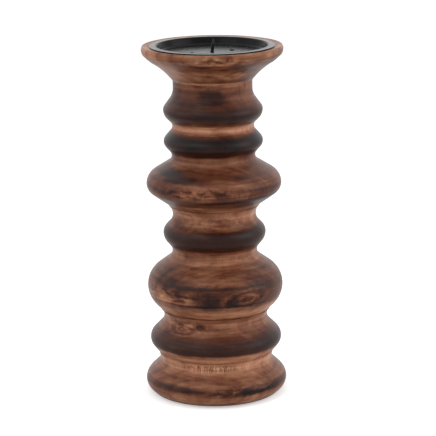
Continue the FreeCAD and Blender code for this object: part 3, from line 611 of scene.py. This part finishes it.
def newPiece(name, places, faces):
    mesh = bpy.data.meshes.new(name)
    mesh.from_pydata([tuple(p) for p in places], [], faces)
    piece = newObject(name, mesh)
    smoothMesh(mesh)
    return piece


def smoothMesh(mesh):
    mesh.polygons.foreach_set("use_smooth", [True] * len(mesh.polygons))
    mesh.set_sharp_from_angle(angle=math.radians(turning["sharpAngle"]))
    mesh.update()


def cutAway(piece, cutters):
    # holes cut for good, so that the piece's own mesh holds them
    for cutter in cutters:
        cut = piece.modifiers.new("hole", "BOOLEAN")
        cut.operation = "DIFFERENCE"
        cut.solver = "EXACT"
        cut.object = cutter
    graph = bpy.context.evaluated_depsgraph_get()
    mesh = bpy.data.meshes.new_from_object(piece.evaluated_get(graph))
    piece.modifiers.clear()
    piece.data = mesh
    smoothMesh(mesh)
    for cutter in cutters:
        bpy.data.objects.remove(cutter)


def turnedWood(name, node, look):
    outline, closed = seamOutline(node)
    inside, above, drop = look["dip"]
    outline = [(radius, height - drop if radius < inside and height > above else height)
               for radius, height in outline]
    low, high = look["joints"]
    rimRadius, rimHeight = look["plainRim"]

    def depthAt(point, turn):
        if point.x < turning["showRadius"] or point.x < rimRadius and point.y > rimHeight:
            return 0.0
        fade = min(max(min(point.y - low, high - point.y), 0.0), 1.0)
        if not fade:
            return 0.0
        place = around(point.x, turn, point.y)
        wave = 0.5 + 0.5 * noise.noise(place / turning["waveSize"])
        ripple = 0.5 + 0.5 * noise.noise(place / turning["rippleSize"])
        toolHeight = point.y + turning["toolDrift"] * wave
        mark = 0.5 + 0.5 * math.sin(math.tau * toolHeight / turning["toolPitch"])
        depth = turning["wave"] * wave + turning["ripple"] * ripple + turning["toolMark"] * mark
        for height, deep in look["creases"]:
            away = (point.y + turning["creaseDrift"] * wave - height) / turning["creaseWidth"]
            depth += deep * math.exp(-away ** 2)
        return depth * fade

    path = finePath(outline, closed, turning["step"])
    piece = spun(name, path, closed, turning["segments"], depthAt)
    piece.data.materials.append(woodMaterial(name + "Wood", look))
    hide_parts(node)
    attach(piece, "root")
    return piece


# The four turned lengths. Joints are the heights between which the wall is marked and sanded. Stain stops are
# (height in mm, darkness), creases (height, depth), and patches
# (fill, bearing, height, half width, half height, slope, softness, gain). The stain stops hold some painted
# shade, and some patches are painted light and shade.

woodLook = {
    "plainRim": (0.0, 0.0),  # nearer the axis than the first and above the second there are no marks
    "dip": (0.0, 0.0, 0.0),  # likewise, and there the outline lies lower by the third
    "waver": 1.5, "poreWidth": 0.9, "poreLength": 8.0,
    "ringContrast": 0.08, "bandContrast": 0.42, "smearContrast": 0.55, "streakContrast": 0.12,
    "poreDarkness": 0.1, "bandCalm": 0.45, "cloud": 0.3, "redness": 0.5,
}

baseLook = {
    **woodLook,
    "joints": (1.5, 74.2),
    "creases": [(36.9, 0.3), (18.4, 0.12)],
    "stainAndShade": [(1.5, 0.5), (4.0, 0.4), (9.5, 0.42), (11.0, 0.5), (13.5, 0.62), (16.5, 0.58), (18.0, 0.46),
              (21.0, 0.52), (25.0, 0.46), (29.0, 0.31), (33.5, 0.2), (36.0, 0.3), (38.5, 0.21), (42.5, 0.26),
              (43.8, 0.42), (45.3, 0.8), (54.0, 0.78), (57.0, 0.68), (60.0, 0.5), (66.0, 0.42), (70.0, 0.34),
              (73.0, 0.42), (76.0, 0.6)],
    "waver": 1.4, "poreLength": 10.0,
    "pith": (22, 118, 0), "lean": 0.05, "ringWidth": 4.6, "wander": 4.0,
    "knot": {"place": (-20, -50, 14), "reach": 14.0, "lift": 5.0},
    "patches": [("plain", -18, 67, 5, 2.0, 0.0, 1.0, 0.26), ("blotch", -40, 68, 26, 3.4, 0.0, 0.6, 0.2),
                ("blotch", 24, 14, 30, 3.2, 0.0, 0.6, 0.22), ("plain", 27, 12.6, 24, 1.7, 0.0, 0.7, 0.2),
                ("plain", -34, 15.5, 18, 2.4, 0.0, 0.6, 0.25), ("stroke", -6, 31.5, 32, 3.2, 0.0, 0.5, -0.22),
                # painted light and shade: the soft patches at about 50 degrees either way lighten some sides
                # and darken others
                ("plain", -48, 25, 26, 6.0, 0.0, 0.8, -0.1),
                ("plain", 50, 30, 28, 6.0, 0.0, 0.8, -0.13), ("plain", 52, 13.5, 24, 3.5, 0.0, 0.8, 0.2),
                ("plain", 52, 51, 26, 4.0, 0.0, 0.8, 0.1),
                ("whorl", -40, 63.5, 22, 5.5, 0.0, 0.5, 0.1)],
}

middleLook = {
    **woodLook,
    "joints": (74.2, 164.2),
    "creases": [(122.5, 0.22)],
    "stainAndShade": [(74.0, 0.62), (75.0, 0.44), (76.0, 0.3), (82.0, 0.32), (84.5, 0.48), (86.5, 0.62),
              (93.0, 0.62), (99.0, 0.62), (103.0, 0.56), (108.0, 0.5), (114.0, 0.5), (117.0, 0.5),
              (119.0, 0.39), (126.0, 0.37), (129.0, 0.52), (131.0, 0.8), (143.0, 0.86), (146.5, 0.7),
              (149.5, 0.48), (153.0, 0.42), (159.0, 0.33), (164.0, 0.45)],
    "poreLength": 9.0,
    "pith": (-26, 96, 0), "lean": -0.04, "ringWidth": 4.2, "wander": 5.0,
    "knot": {"place": (19, -52, 94), "reach": 12.0, "lift": 8.0},
    "patches": [("plain", -48, 91, 26, 4.5, 0.0, 0.6, -0.26), ("blotch", -45, 94, 28, 6.5, 0.0, 0.6, 0.2),
                ("plain", -6, 93, 10, 6.5, 0.0, 0.7, 0.2), ("plain", 15, 93, 5, 4.5, 0.0, 0.8, 0.26),
                ("whorl", 27, 93.5, 24, 8.0, 0.1, 0.5, 0.12), ("plain", -6, 103.0, 36, 1.5, 0.0, 0.8, 0.24),
                # painted light and shade: the soft patches at about 50 degrees either way lighten some sides
                # and darken others
                ("plain", -55, 110, 22, 7.0, -0.1, 0.8, 0.16), ("plain", 3, 146, 12, 2.5, 0.0, 0.7, 0.12),
                ("blotch", 0, 155, 40, 6.0, 0.0, 0.6, 0.1), ("plain", 50, 147, 24, 4.0, 0.0, 0.8, 0.14),
                ("plain", 0, 88.2, 60, 0.9, 0.0, 0.6, 0.22),
                ("plain", -50, 153, 22, 3.5, 0.0, 0.8, 0.14), ("plain", 50, 157.5, 20, 3.0, 0.0, 0.8, -0.12),
                ("plain", -50, 124, 26, 3.6, 0.0, 0.8, 0.12), ("plain", 52, 105, 24, 7.0, 0.0, 0.8, 0.16),
                ("plain", -50, 105, 20, 3.0, 0.0, 0.8, 0.12), ("plain", 50, 79, 30, 3.5, 0.0, 0.8, -0.15)],
}

upperLook = {
    **woodLook,
    "joints": (164.2, 270.0),
    "creases": [(228.4, 0.3), (204.6, 0.28)],
    "stainAndShade": [(164.0, 0.46), (168.0, 0.44), (171.0, 0.76), (176.0, 0.63), (179.0, 0.54), (184.0, 0.54),
              (189.0, 0.46), (191.5, 0.5), (195.0, 0.66), (201.0, 0.53), (205.5, 0.5), (209.0, 0.52),
              (211.5, 0.84), (224.0, 1.0), (226.5, 0.74), (228.5, 0.5), (231.0, 0.22), (234.5, 0.26),
              (236.5, 0.62), (239.5, 0.78), (246.0, 0.82), (250.0, 0.76), (256.0, 0.69), (262.0, 0.67),
              (265.0, 0.6), (268.0, 0.54), (270.0, 0.46)],
    "cloud": 0.32,
    "pith": (34, 104, 0), "lean": 0.03, "ringWidth": 4.4, "wander": 4.6,
    "knot": {"place": (-24, -50, 184), "reach": 12.0, "lift": 8.0},
    "patches": [("plain", -38, 194.5, 36, 3.2, -0.1, 0.7, 0.24),
                # a painted highlight: the lighter stroke across the front of the upper bead at 189.5 mm
                ("plain", 0, 189.5, 24, 1.7, 0.0, 0.5, -0.12),
                ("blotch", -14, 183, 30, 3.6, 0.0, 0.5, 0.24),
                ("plain", 32, 176.2, 40, 1.9, 0.035, 0.5, 0.25),
                # painted light and shade: the soft patches at about 50 degrees either way lighten some sides
                # and darken others
                ("plain", -56, 187, 24, 6.5, 0.0, 0.8, 0.22), ("plain", -3, 260, 19, 6.0, 0.0, 0.3, 0.15),
                ("plain", 62, 256, 30, 9.0, 0.0, 0.8, -0.2), ("plain", 0, 243.5, 70, 1.6, 0.0, 0.6, 0.12),
                ("plain", 50, 268, 26, 3.0, 0.0, 0.8, -0.15), ("plain", 50, 250, 26, 4.0, 0.0, 0.8, 0.1),
                ("plain", 52, 231, 24, 4.0, 0.0, 0.8, -0.1), ("plain", 54, 184, 22, 6.5, 0.0, 0.8, 0.14)],
}

cupLook = {
    **woodLook,
    "joints": (270.0, 320.0), "plainRim": (53.4, 290.0), "dip": (54.0, 298.5, 1.05),
    "creases": [(271.3, 0.22)],
    "stainAndShade": [(269.9, 0.4), (272.0, 0.58), (276.0, 0.47), (281.0, 0.38), (285.0, 0.56), (289.0, 0.48),
              (292.0, 0.46), (295.0, 0.4), (299.0, 0.34)],
    "waver": 1.3, "bandContrast": 0.5, "smearContrast": 0.5, "cloud": 0.36, "redness": 0.4,
    "pith": (-16, 88, 0), "lean": 0.04, "ringWidth": 4.0, "wander": 4.5,
    "knot": {"place": (6, -58, 290), "reach": 11.0, "lift": 6.0},
    "patches": [("plain", -6, 288.3, 7, 1.4, 0.0, 0.7, 0.12), ("plain", 0, 288.6, 32, 1.1, 0.0, 0.7, 0.06),
                ("blotch", 6, 293, 22, 3.6, 0.0, 0.5, 0.24), ("blotch", 30, 280, 40, 8.0, 0.0, 0.6, 0.1),
                # partly a worn edge and partly a painted highlight: the light line across the front at the
                # foot of the cup
                ("plain", 0, 271, 62, 0.9, 0.0, 0.5, -0.26),
                # painted light and shade: the soft patches at about 50 degrees either way lighten some sides
                # and darken others
                ("plain", -52, 281, 30, 9.0, 0.0, 0.8, -0.1), ("plain", 52, 284, 30, 12.0, 0.0, 0.8, 0.17)],
}

turnedWood("turnedBase", "base_column", baseLook)
turnedWood("turnedMiddle", "middle_column", middleLook)
turnedWood("turnedUpper", "upper_column", upperLook)
cup = turnedWood("turnedCup", "top_cup", cupLook)
print("stage: wood turned")


# Metal

screwLook = {
    "headRadius": 2.1, "headHeight": 1.2, "headEdge": 0.1, "headRim": 0.12, "domeSteps": 14,
    "slotWidth": 0.55, "slotDepth": 0.5, "slotTurns": (20.0, 75.0),  # degrees, one for each screw
    "length": 12.0, "plainNeck": 2.2, "threadStart": 0.8, "point": 3.0, "pointShare": 0.06,
    "shankRadius": 1.1, "rootRadius": 0.86, "pitch": 1.0, "crestWidth": 0.3, "ringsPerTurn": 10,
    "panHole": 1.3, "pilot": 1.15, "pilotDeeper": 0.3, "segments": 48,
    "dark": (26, 26, 28), "light": (48, 46, 46), "rubbed": 0.34, "dull": 0.5, "even": {"Metallic": 0.5},
    "smearSize": 1.6, "speckSize": 0.2, "speckShine": 0.0, "speckRelief": 0.01,
}

panLook = {
    "segments": 216, "step": 0.3,
    "mouthSink": 0.75,  # mm that the mouth lies below the solid's
    "wallRun": 5.0,     # mm of wall that give way to that
    "lipDrop": 0.2,     # mm that the flange lies below the mouth
    "lipRun": 0.9,      # mm over which it falls
    "edgeRun": 0.8,     # mm over which its edge is rolled down
    "levelGap": 0.001,  # mm below the top that count as the mouth
    "edgeGap": 0.1,     # mm from the rim that count as the edge
    "dark": (10, 10, 10), "light": (16, 16, 17), "rubbed": 0.24, "dull": 0.28, "speckShine": 0.01,
    "even": {"Specular IOR Level": 0.08, "Coat IOR": 1.12, "Coat Roughness": 0.2},
    "floorSheen": 0.8, "wallSheen": 0.25, "flangeSheen": 0.94,
    "wallFoot": (43.8, 45.2), "wallTop": (47.3, 47.8),  # mm from the axis
    "smearSize": 9.0, "speckSize": 0.5, "speckRelief": 0.0006,
}

pinLook = {
    # (distance along the pin from the underside of its head, radius)
    "rings": [(0.0, 2.7), (0.25, 3.0), (0.65, 3.0), (0.9, 2.8), (0.9, 1.7), (2.35, 1.7), (2.765, 1.66),
              (2.78, 1.3), (5.0, 1.295), (9.6, 1.3), (9.9, 1.24), (12.0, 0.72), (13.9, 0.24), (14.25, 0.1)],
    "shankStart": 2.78, "top": 14.3, "segments": 64,
    # above the pan's mouth the pin turns to the lighter colour and more metal: a painted reflection
    "dark": (10, 10, 10), "light": (20, 19, 19), "paintedReflectionFrom": 298.0, "paintedReflectionTo": 303.5, "paintedReflectionWaver": 4.0,
    "darkMetallic": 0.05, "paintedReflectionMetallic": 0.2, "rubbed": 0.3, "dull": 0.5,
    "even": {"Specular IOR Level": 0.25},
    "smearSize": 2.2, "speckSize": 0.25, "streakWidth": 0.3, "streakLength": 6.0, "streakRelief": 0.02,
}


def wornMetal(name, look):
    material, graph, shader, place = newMaterial(name)
    wear = wearOn(graph, place, look)
    color = graph.blend(wear["Smears"], paint(*look["dark"]), paint(*look["light"]))
    rough = graph.spread(wear["Smears"], look["rubbed"], look["dull"])
    specks = graph.spread(wear["Specks"], -look["speckShine"], look["speckShine"])
    rough = graph.math("ADD", rough, specks)
    graph.fillAll(shader, {"Base Color": color, "Roughness": rough, **look["even"]})
    finishBump(graph, shader, wear["Specks"], look["speckRelief"])
    return material, graph, shader, place


def blackPanMaterial():
    # the spray lies drier on the steep wall than on the floor and the flange
    material, graph, shader, place = wornMetal("satinBlack", panLook)
    radius = graph.vector("LENGTH", graph.scaled(place, 1.0, 1.0, 0.0))
    wallSheen = panLook["wallSheen"]
    inner = graph.level(radius, *panLook["wallFoot"], panLook["floorSheen"], wallSheen)
    outer = graph.level(radius, *panLook["wallTop"], 0.0, panLook["flangeSheen"] - wallSheen)
    graph.fill(shader.inputs["Coat Weight"], graph.math("ADD", inner, outer))
    return material


def pinMaterial():
    # drawn steel, dark, and painted lighter and more metallic above the pan's mouth: a painted reflection
    material, graph, shader, place = newMaterial("darkSteel")
    wear = wearOn(graph, place, pinLook)
    fibres = graph.group(fibreGroup, {
        "Place": place, "Pore Width": pinLook["streakWidth"], "Pore Length": pinLook["streakLength"]})
    height = graph.plus(graph.split(place)["Z"], wear["Smears"], pinLook["paintedReflectionWaver"])
    paintedReflection = graph.level(height, pinLook["paintedReflectionFrom"], pinLook["paintedReflectionTo"])
    color = graph.blend(paintedReflection, paint(*pinLook["dark"]), paint(*pinLook["light"]))
    metallic = graph.level(paintedReflection, 0.0, 1.0, pinLook["darkMetallic"], pinLook["paintedReflectionMetallic"])
    rough = graph.spread(wear["Specks"], pinLook["rubbed"], pinLook["dull"])
    graph.fillAll(shader, {"Base Color": color, "Metallic": metallic, "Roughness": rough, **pinLook["even"]})
    finishBump(graph, shader, fibres["Streaks"], pinLook["streakRelief"])
    return material


def rod(place, radius, low, high):
    # a plain cylinder used as a cutter, heights in mm
    path = [Vector((0, low)), Vector((radius, low)), Vector((radius, high)), Vector((0, high))]
    cutter = spun("cutter", path, False, screwLook["segments"])
    cutter.location = Vector((place.x, place.y, 0)) * mm
    bpy.context.view_layer.update()
    return cutter


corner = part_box("pan_screws")[1] / mm
screwTop = corner.z
screwOut = Vector((corner.x - screwLook["headRadius"], corner.y - screwLook["headRadius"], 0))
screwPlaces = [screwOut, -screwOut]


def easeStep(share):
    share = min(1.0, max(0.0, share))
    return share * share * (3 - 2 * share)


def pressLip(path):
    # the mouth sinks a little, the flange lies level round it, and its edge is rolled down onto the wood
    top = max(point.y for point in path)
    mouth = next(point.x for point in path if point.y > top - panLook["levelGap"])
    edge = max(point.x for point in path)
    fall = top - max(point.y for point in path if point.x > edge - panLook["edgeGap"])
    sink, drop = panLook["mouthSink"], panLook["lipDrop"]
    low, high = top - panLook["wallRun"], top - 2 * fall
    for point in path:
        reach = max(point.x - mouth, 0.0)
        pressed = drop * easeStep(reach / panLook["lipRun"])
        rolled = (fall - sink - drop) * easeStep(1 - (edge - mouth - reach) / panLook["edgeRun"])
        straight = fall * reach / (edge - mouth)
        point.y -= (sink + pressed + rolled - straight) * easeStep((point.y - low) / (high - low))


def makePan():
    outline, closed = seamOutline("drip_pan")
    path = finePath(outline, closed, panLook["step"])
    pressLip(path)
    pan = spun("pan", path, closed, panLook["segments"])
    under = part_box("drip_pan")[0].z / mm - 1
    cutAway(pan, [rod(place, screwLook["panHole"], under, screwTop) for place in screwPlaces])
    pan.data.materials.append(blackPanMaterial())
    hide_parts("drip_pan")
    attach(pan, "root")


def makePin():
    mount = next(m for m in frame["record"]["mounts"] if m["name"] == "pricket")
    axis = Vector(mount["axis"]).normalized()
    path = [Vector((0, pinLook["rings"][0][0]))]
    path += [Vector((radius, along)) for along, radius in pinLook["rings"]]
    path.append(Vector((0, pinLook["top"])))
    pin = spun("pin", path, False, pinLook["segments"])
    middle = Vector(mount["pos_m"])
    start = middle - axis * (pinLook["shankStart"] + mount["dims"]["length_mm"] / 2) * mm
    turn = axis.to_track_quat("Z", "Y").to_matrix().to_4x4()
    pin.data.transform(Matrix.Translation(start) @ turn)
    pin.data.materials.append(pinMaterial())
    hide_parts("pricket")
    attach(pin, "root")


def threadRadius(height, turn):
    # a thread that starts under a plain neck and runs down to a point, heights from the underside of the head
    shank = screwLook["shankRadius"]
    phase = (height / screwLook["pitch"] - turn / math.tau) % 1.0
    crest = max(0.0, 1.0 - abs(phase - 0.5) / screwLook["crestWidth"])
    depth = min(1.0, max(0.0, (-height - screwLook["plainNeck"]) / screwLook["threadStart"]))
    root = shank - (shank - screwLook["rootRadius"]) * depth
    taper = min(1.0, max(screwLook["pointShare"], (height + screwLook["length"]) / screwLook["point"]))
    return (root + (shank - root) * crest) * taper


def screwMesh(slotTurn):
    # a threaded shank under a domed head with a slot
    segments, length = screwLook["segments"], screwLook["length"]
    headRadius, headHeight, rim = (screwLook[part] for part in ("headRadius", "headHeight", "headRim"))
    places, faces = [Vector((0, 0, -length))], []

    def addRing(height, radiusAt):
        for number in range(segments):
            turn = math.tau * number / segments
            places.append(around(radiusAt(turn), turn, height))

    rows = round(length / screwLook["pitch"] * screwLook["ringsPerTurn"])
    for row in range(1, rows + 1):
        height = -length + length * row / rows
        addRing(height, lambda turn: threadRadius(height, turn))
    dome = [(headRadius - screwLook["headEdge"], 0.0), (headRadius, rim)]
    for step in range(1, screwLook["domeSteps"]):
        turn = step / screwLook["domeSteps"] * math.pi / 2
        dome.append((headRadius * math.cos(turn), rim + (headHeight - rim) * math.sin(turn)))
    for radius, height in dome:
        addRing(height, lambda turn: radius)
    places.append(Vector((0, 0, headHeight)))
    last = rows + len(dome) - 1
    for number in range(segments):
        after = (number + 1) % segments
        faces.append((0, 1 + after, 1 + number))
        for row in range(last):
            low, high = 1 + row * segments, 1 + (row + 1) * segments
            faces.append((low + number, low + after, high + after, high + number))
        top = 1 + last * segments
        faces.append((top + number, top + after, len(places) - 1))
    screw = newPiece("screw", [p * mm for p in places], faces)
    bpy.ops.mesh.primitive_cube_add(size=1)
    slot = bpy.context.active_object
    width, deep = screwLook["slotWidth"] * mm, screwLook["slotDepth"] * mm
    size = Matrix.Diagonal((4 * headRadius * mm, width, 2 * deep, 1))
    turned = Matrix.Rotation(math.radians(slotTurn), 4, "Z") @ size
    slot.data.transform(Matrix.Translation((0, 0, headHeight * mm)) @ turned)
    cutAway(screw, [slot])
    return screw


def makeScrews():
    material = wornMetal("blackOxide", screwLook)[0]
    joined = bmesh.new()
    for place, slotTurn in zip(screwPlaces, screwLook["slotTurns"]):
        screw = screwMesh(slotTurn)
        under = screwTop - screwLook["headHeight"]
        screw.data.transform(Matrix.Translation(Vector((place.x, place.y, under)) * mm))
        joined.from_mesh(screw.data)
        bpy.data.objects.remove(screw)
    mesh = bpy.data.meshes.new("screws")
    joined.to_mesh(mesh)
    joined.free()
    screws = newObject("screws", mesh)
    smoothMesh(mesh)
    mesh.materials.clear()
    mesh.materials.append(material)
    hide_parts("pan_screws")
    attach(screws, "root")


makePan()
makePin()
makeScrews()
pilotLow = screwTop - screwLook["headHeight"] - screwLook["length"] - screwLook["pilotDeeper"]
cutAway(cup, [rod(place, screwLook["pilot"], pilotLow, screwTop) for place in screwPlaces])
print("stage: metal made")


# Felt pads and dowels

feltLook = {
    "segments": 160, "rings": 26, "edge": 0.35, "edgeSteps": 6, "topFlat": 2.0,
    "fuzz": 0.22, "weave": 0.1, "fuzzyRim": 1.0, "glueGap": 0.05,  # mm
    "fuzzScale": 2.3, "dentScale": 0.7,           # per mm
    "fibreScale": 2.4, "clumpScale": 0.7, "fibreShare": 0.55, "clumpShare": 0.45,
    "tones": [(0.36, (26, 23, 21)), (0.5, (58, 52, 47)), (0.64, (104, 96, 88))],
    "even": {"Roughness": 0.95, "Sheen Weight": 0.5}, "fibreRelief": 0.4,
}


def feltMaterial():
    material, graph, shader, place = newMaterial("feltFibre")
    fibres = graph.noise(place, feltLook["fibreScale"], 5.0, 0.7).outputs["Fac"]
    clumps = graph.noise(place, feltLook["clumpScale"], 3.0, 0.6).outputs["Fac"]
    mixed = graph.plus(graph.math("MULTIPLY", fibres, feltLook["fibreShare"]), clumps, feltLook["clumpShare"])
    color = graph.ramp(mixed, [(at, paint(*tone)) for at, tone in feltLook["tones"]])
    graph.fillAll(shader, {"Base Color": color, **feltLook["even"]})
    finishBump(graph, shader, fibres, feltLook["fibreRelief"])
    return material


def makeFelt(node, material):
    low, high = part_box(node)
    centre = (low + high) / 2 / mm
    radius = (high.x - low.x) / 2 / mm
    bottom, top = low.z / mm, high.z / mm
    edge, rings, steps = feltLook["edge"], feltLook["rings"], feltLook["edgeSteps"]
    path = [Vector(((radius - edge) * number / rings, bottom)) for number in range(rings)]
    for number in range(steps + 1):
        turn = math.pi * number / steps - math.pi / 2
        height = (bottom + top) / 2 + (top - bottom) / 2 * math.sin(turn)
        path.append(Vector((radius - edge + edge * math.cos(turn), height)))
    path += [Vector((radius - feltLook["topFlat"], top)), Vector((0, top))]

    def depthAt(point, turn):
        rim = point.x > radius - feltLook["fuzzyRim"]
        if point.y > top - feltLook["glueGap"] and not rim:  # the glued face stays flat
            return 0.0
        place = around(point.x, turn, point.y)
        fuzz = 0.5 + 0.5 * noise.noise(place * feltLook["fuzzScale"])
        dents = 0.6 + 0.4 * noise.noise(place * feltLook["dentScale"])
        return feltLook["fuzz" if rim else "weave"] * fuzz * dents

    pad = spun(node.replace("felt_pad_", "felt"), path, False, feltLook["segments"], depthAt)
    pad.data.transform(Matrix.Translation(Vector((centre.x, centre.y, 0)) * mm))
    pad.data.materials.append(material)
    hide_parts(node)
    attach(pad, "root")


felt = feltMaterial()
for node in sorted(name for name in frame["nodes"] if name.startswith("felt_pad")):
    makeFelt(node, felt)


beechLook = {
    "poreWidth": 0.35, "poreLength": 1.8, "pith": (5, 40, 0), "ringWidth": 2.2, "wander": 1.2,
    "ringShare": 0.45, "poreShare": 0.6,
    "tones": [(0.0, (214, 184, 148)), (0.5, (196, 160, 122)), (1.0, (150, 112, 80))],
    "even": {"Roughness": 0.62}, "fibreRelief": 0.04,
}


def beechMaterial():
    material, graph, shader, place = newMaterial("plainBeech")
    fibres = graph.group(fibreGroup, {
        "Place": place, "Pore Width": beechLook["poreWidth"], "Pore Length": beechLook["poreLength"]})
    rings = graph.group(ringGroup, {
        "Place": place, "Pith": beechLook["pith"], "Ring Width": beechLook["ringWidth"],
        "Wander": beechLook["wander"]})
    lines = graph.math("MULTIPLY", rings["Latewood"], beechLook["ringShare"])
    mixed = graph.plus(lines, fibres["Pores"], beechLook["poreShare"])
    color = graph.ramp(mixed, [(at, paint(*tone)) for at, tone in beechLook["tones"]])
    graph.fillAll(shader, {"Base Color": color, **beechLook["even"]})
    finishBump(graph, shader, fibres["Streaks"], beechLook["fibreRelief"])
    return material


beech = beechMaterial()
for name in ("lower_dowel", "middle_dowel", "upper_dowel"):
    dowel = frame["nodes"][name]
    dowel.data.materials.clear()
    dowel.data.materials.append(beech)
print("stage: felt and dowels made")


# Studio

studio = {
    "floorSize": 8.0,
    "floor": {"Base Color": (0.85, 0.85, 0.85, 1), "Roughness": 0.9, "Specular IOR Level": 0.0,
              "Emission Color": (1, 1, 1, 1)},
    "floorLift": 0.42,  # light that only the camera sees, so that the floor is white and keeps its shadow
    "skyLevel": 0.66, "seenSky": 1.0,
    "aim": (0.0, 0.0, 0.16),
    # name, place and size in metres, power in watts
    "lamps": [("key", (-0.9, -1.0, 1.6), 1.2, 8.0), ("right", (1.4, -0.35, 0.8), 1.2, 9.0),
              ("left", (-1.4, -0.2, 0.7), 1.2, 3.0), ("top", (0.0, 0.3, 1.8), 1.4, 5.0)],
}


def makeFloor():
    bpy.ops.mesh.primitive_plane_add(size=studio["floorSize"])
    floor = bpy.context.active_object
    floor.name = "floor"
    material = bpy.data.materials.new("paleFloor")
    material.use_nodes = True
    graph = Graph(material.node_tree)
    shader = material.node_tree.nodes["Principled BSDF"]
    graph.fillAll(shader, studio["floor"])
    seen = graph.add("ShaderNodeLightPath").outputs["Is Camera Ray"]
    graph.fill(shader.inputs["Emission Strength"], graph.math("MULTIPLY", seen, studio["floorLift"]))
    floor.data.materials.append(material)


def makeSky():
    world = bpy.data.worlds.new("tent")
    bpy.context.scene.world = world
    world.use_nodes = True
    graph = Graph(world.node_tree)
    paths = graph.add("ShaderNodeLightPath").outputs
    seen = graph.math("MAXIMUM", graph.math("MAXIMUM", paths["Is Camera Ray"], paths["Is Glossy Ray"]),
                      paths["Is Transmission Ray"])
    background = world.node_tree.nodes["Background"]
    background.inputs["Color"].default_value = (1, 1, 1, 1)
    strength = graph.level(seen, 0.0, 1.0, studio["skyLevel"], studio["seenSky"], smooth=False)
    graph.fill(background.inputs["Strength"], strength)


def makeLamp(name, place, size, power):
    light = bpy.data.lights.new(name, "AREA")
    light.size = size
    light.energy = power
    lamp = newObject(name, light)
    lamp.location = place
    aim = Vector(studio["aim"]) - Vector(place)
    lamp.rotation_mode = "QUATERNION"
    lamp.rotation_quaternion = aim.to_track_quat("-Z", "Y")


makeFloor()
makeSky()
for lamp in studio["lamps"]:
    makeLamp(*lamp)
print("stage: studio made")


# Camera

view = {
    "place": (0.0, -1.570, 0.53184),  # metres
    "pitch": 13.64, "turn": 0.1116, "roll": 0.7684,  # degrees
    "lens": 157.3, "sensor": 36.0,  # mm
}


def makeCamera():
    data = bpy.data.cameras.new("camera")
    data.lens = view["lens"]
    data.sensor_width = view["sensor"]
    camera = newObject("camera", data)
    camera.location = view["place"]
    tilt = math.radians(90 - view["pitch"])
    aim = Euler((tilt, 0, -math.radians(view["turn"]))).to_quaternion()
    camera.rotation_mode = "QUATERNION"
    camera.rotation_quaternion = aim @ Quaternion((0, 0, 1), -math.radians(view["roll"]))
    bpy.context.scene.camera = camera


makeCamera()
settings = bpy.context.scene.view_settings
settings.view_transform = "Standard"
print("stage: camera set")
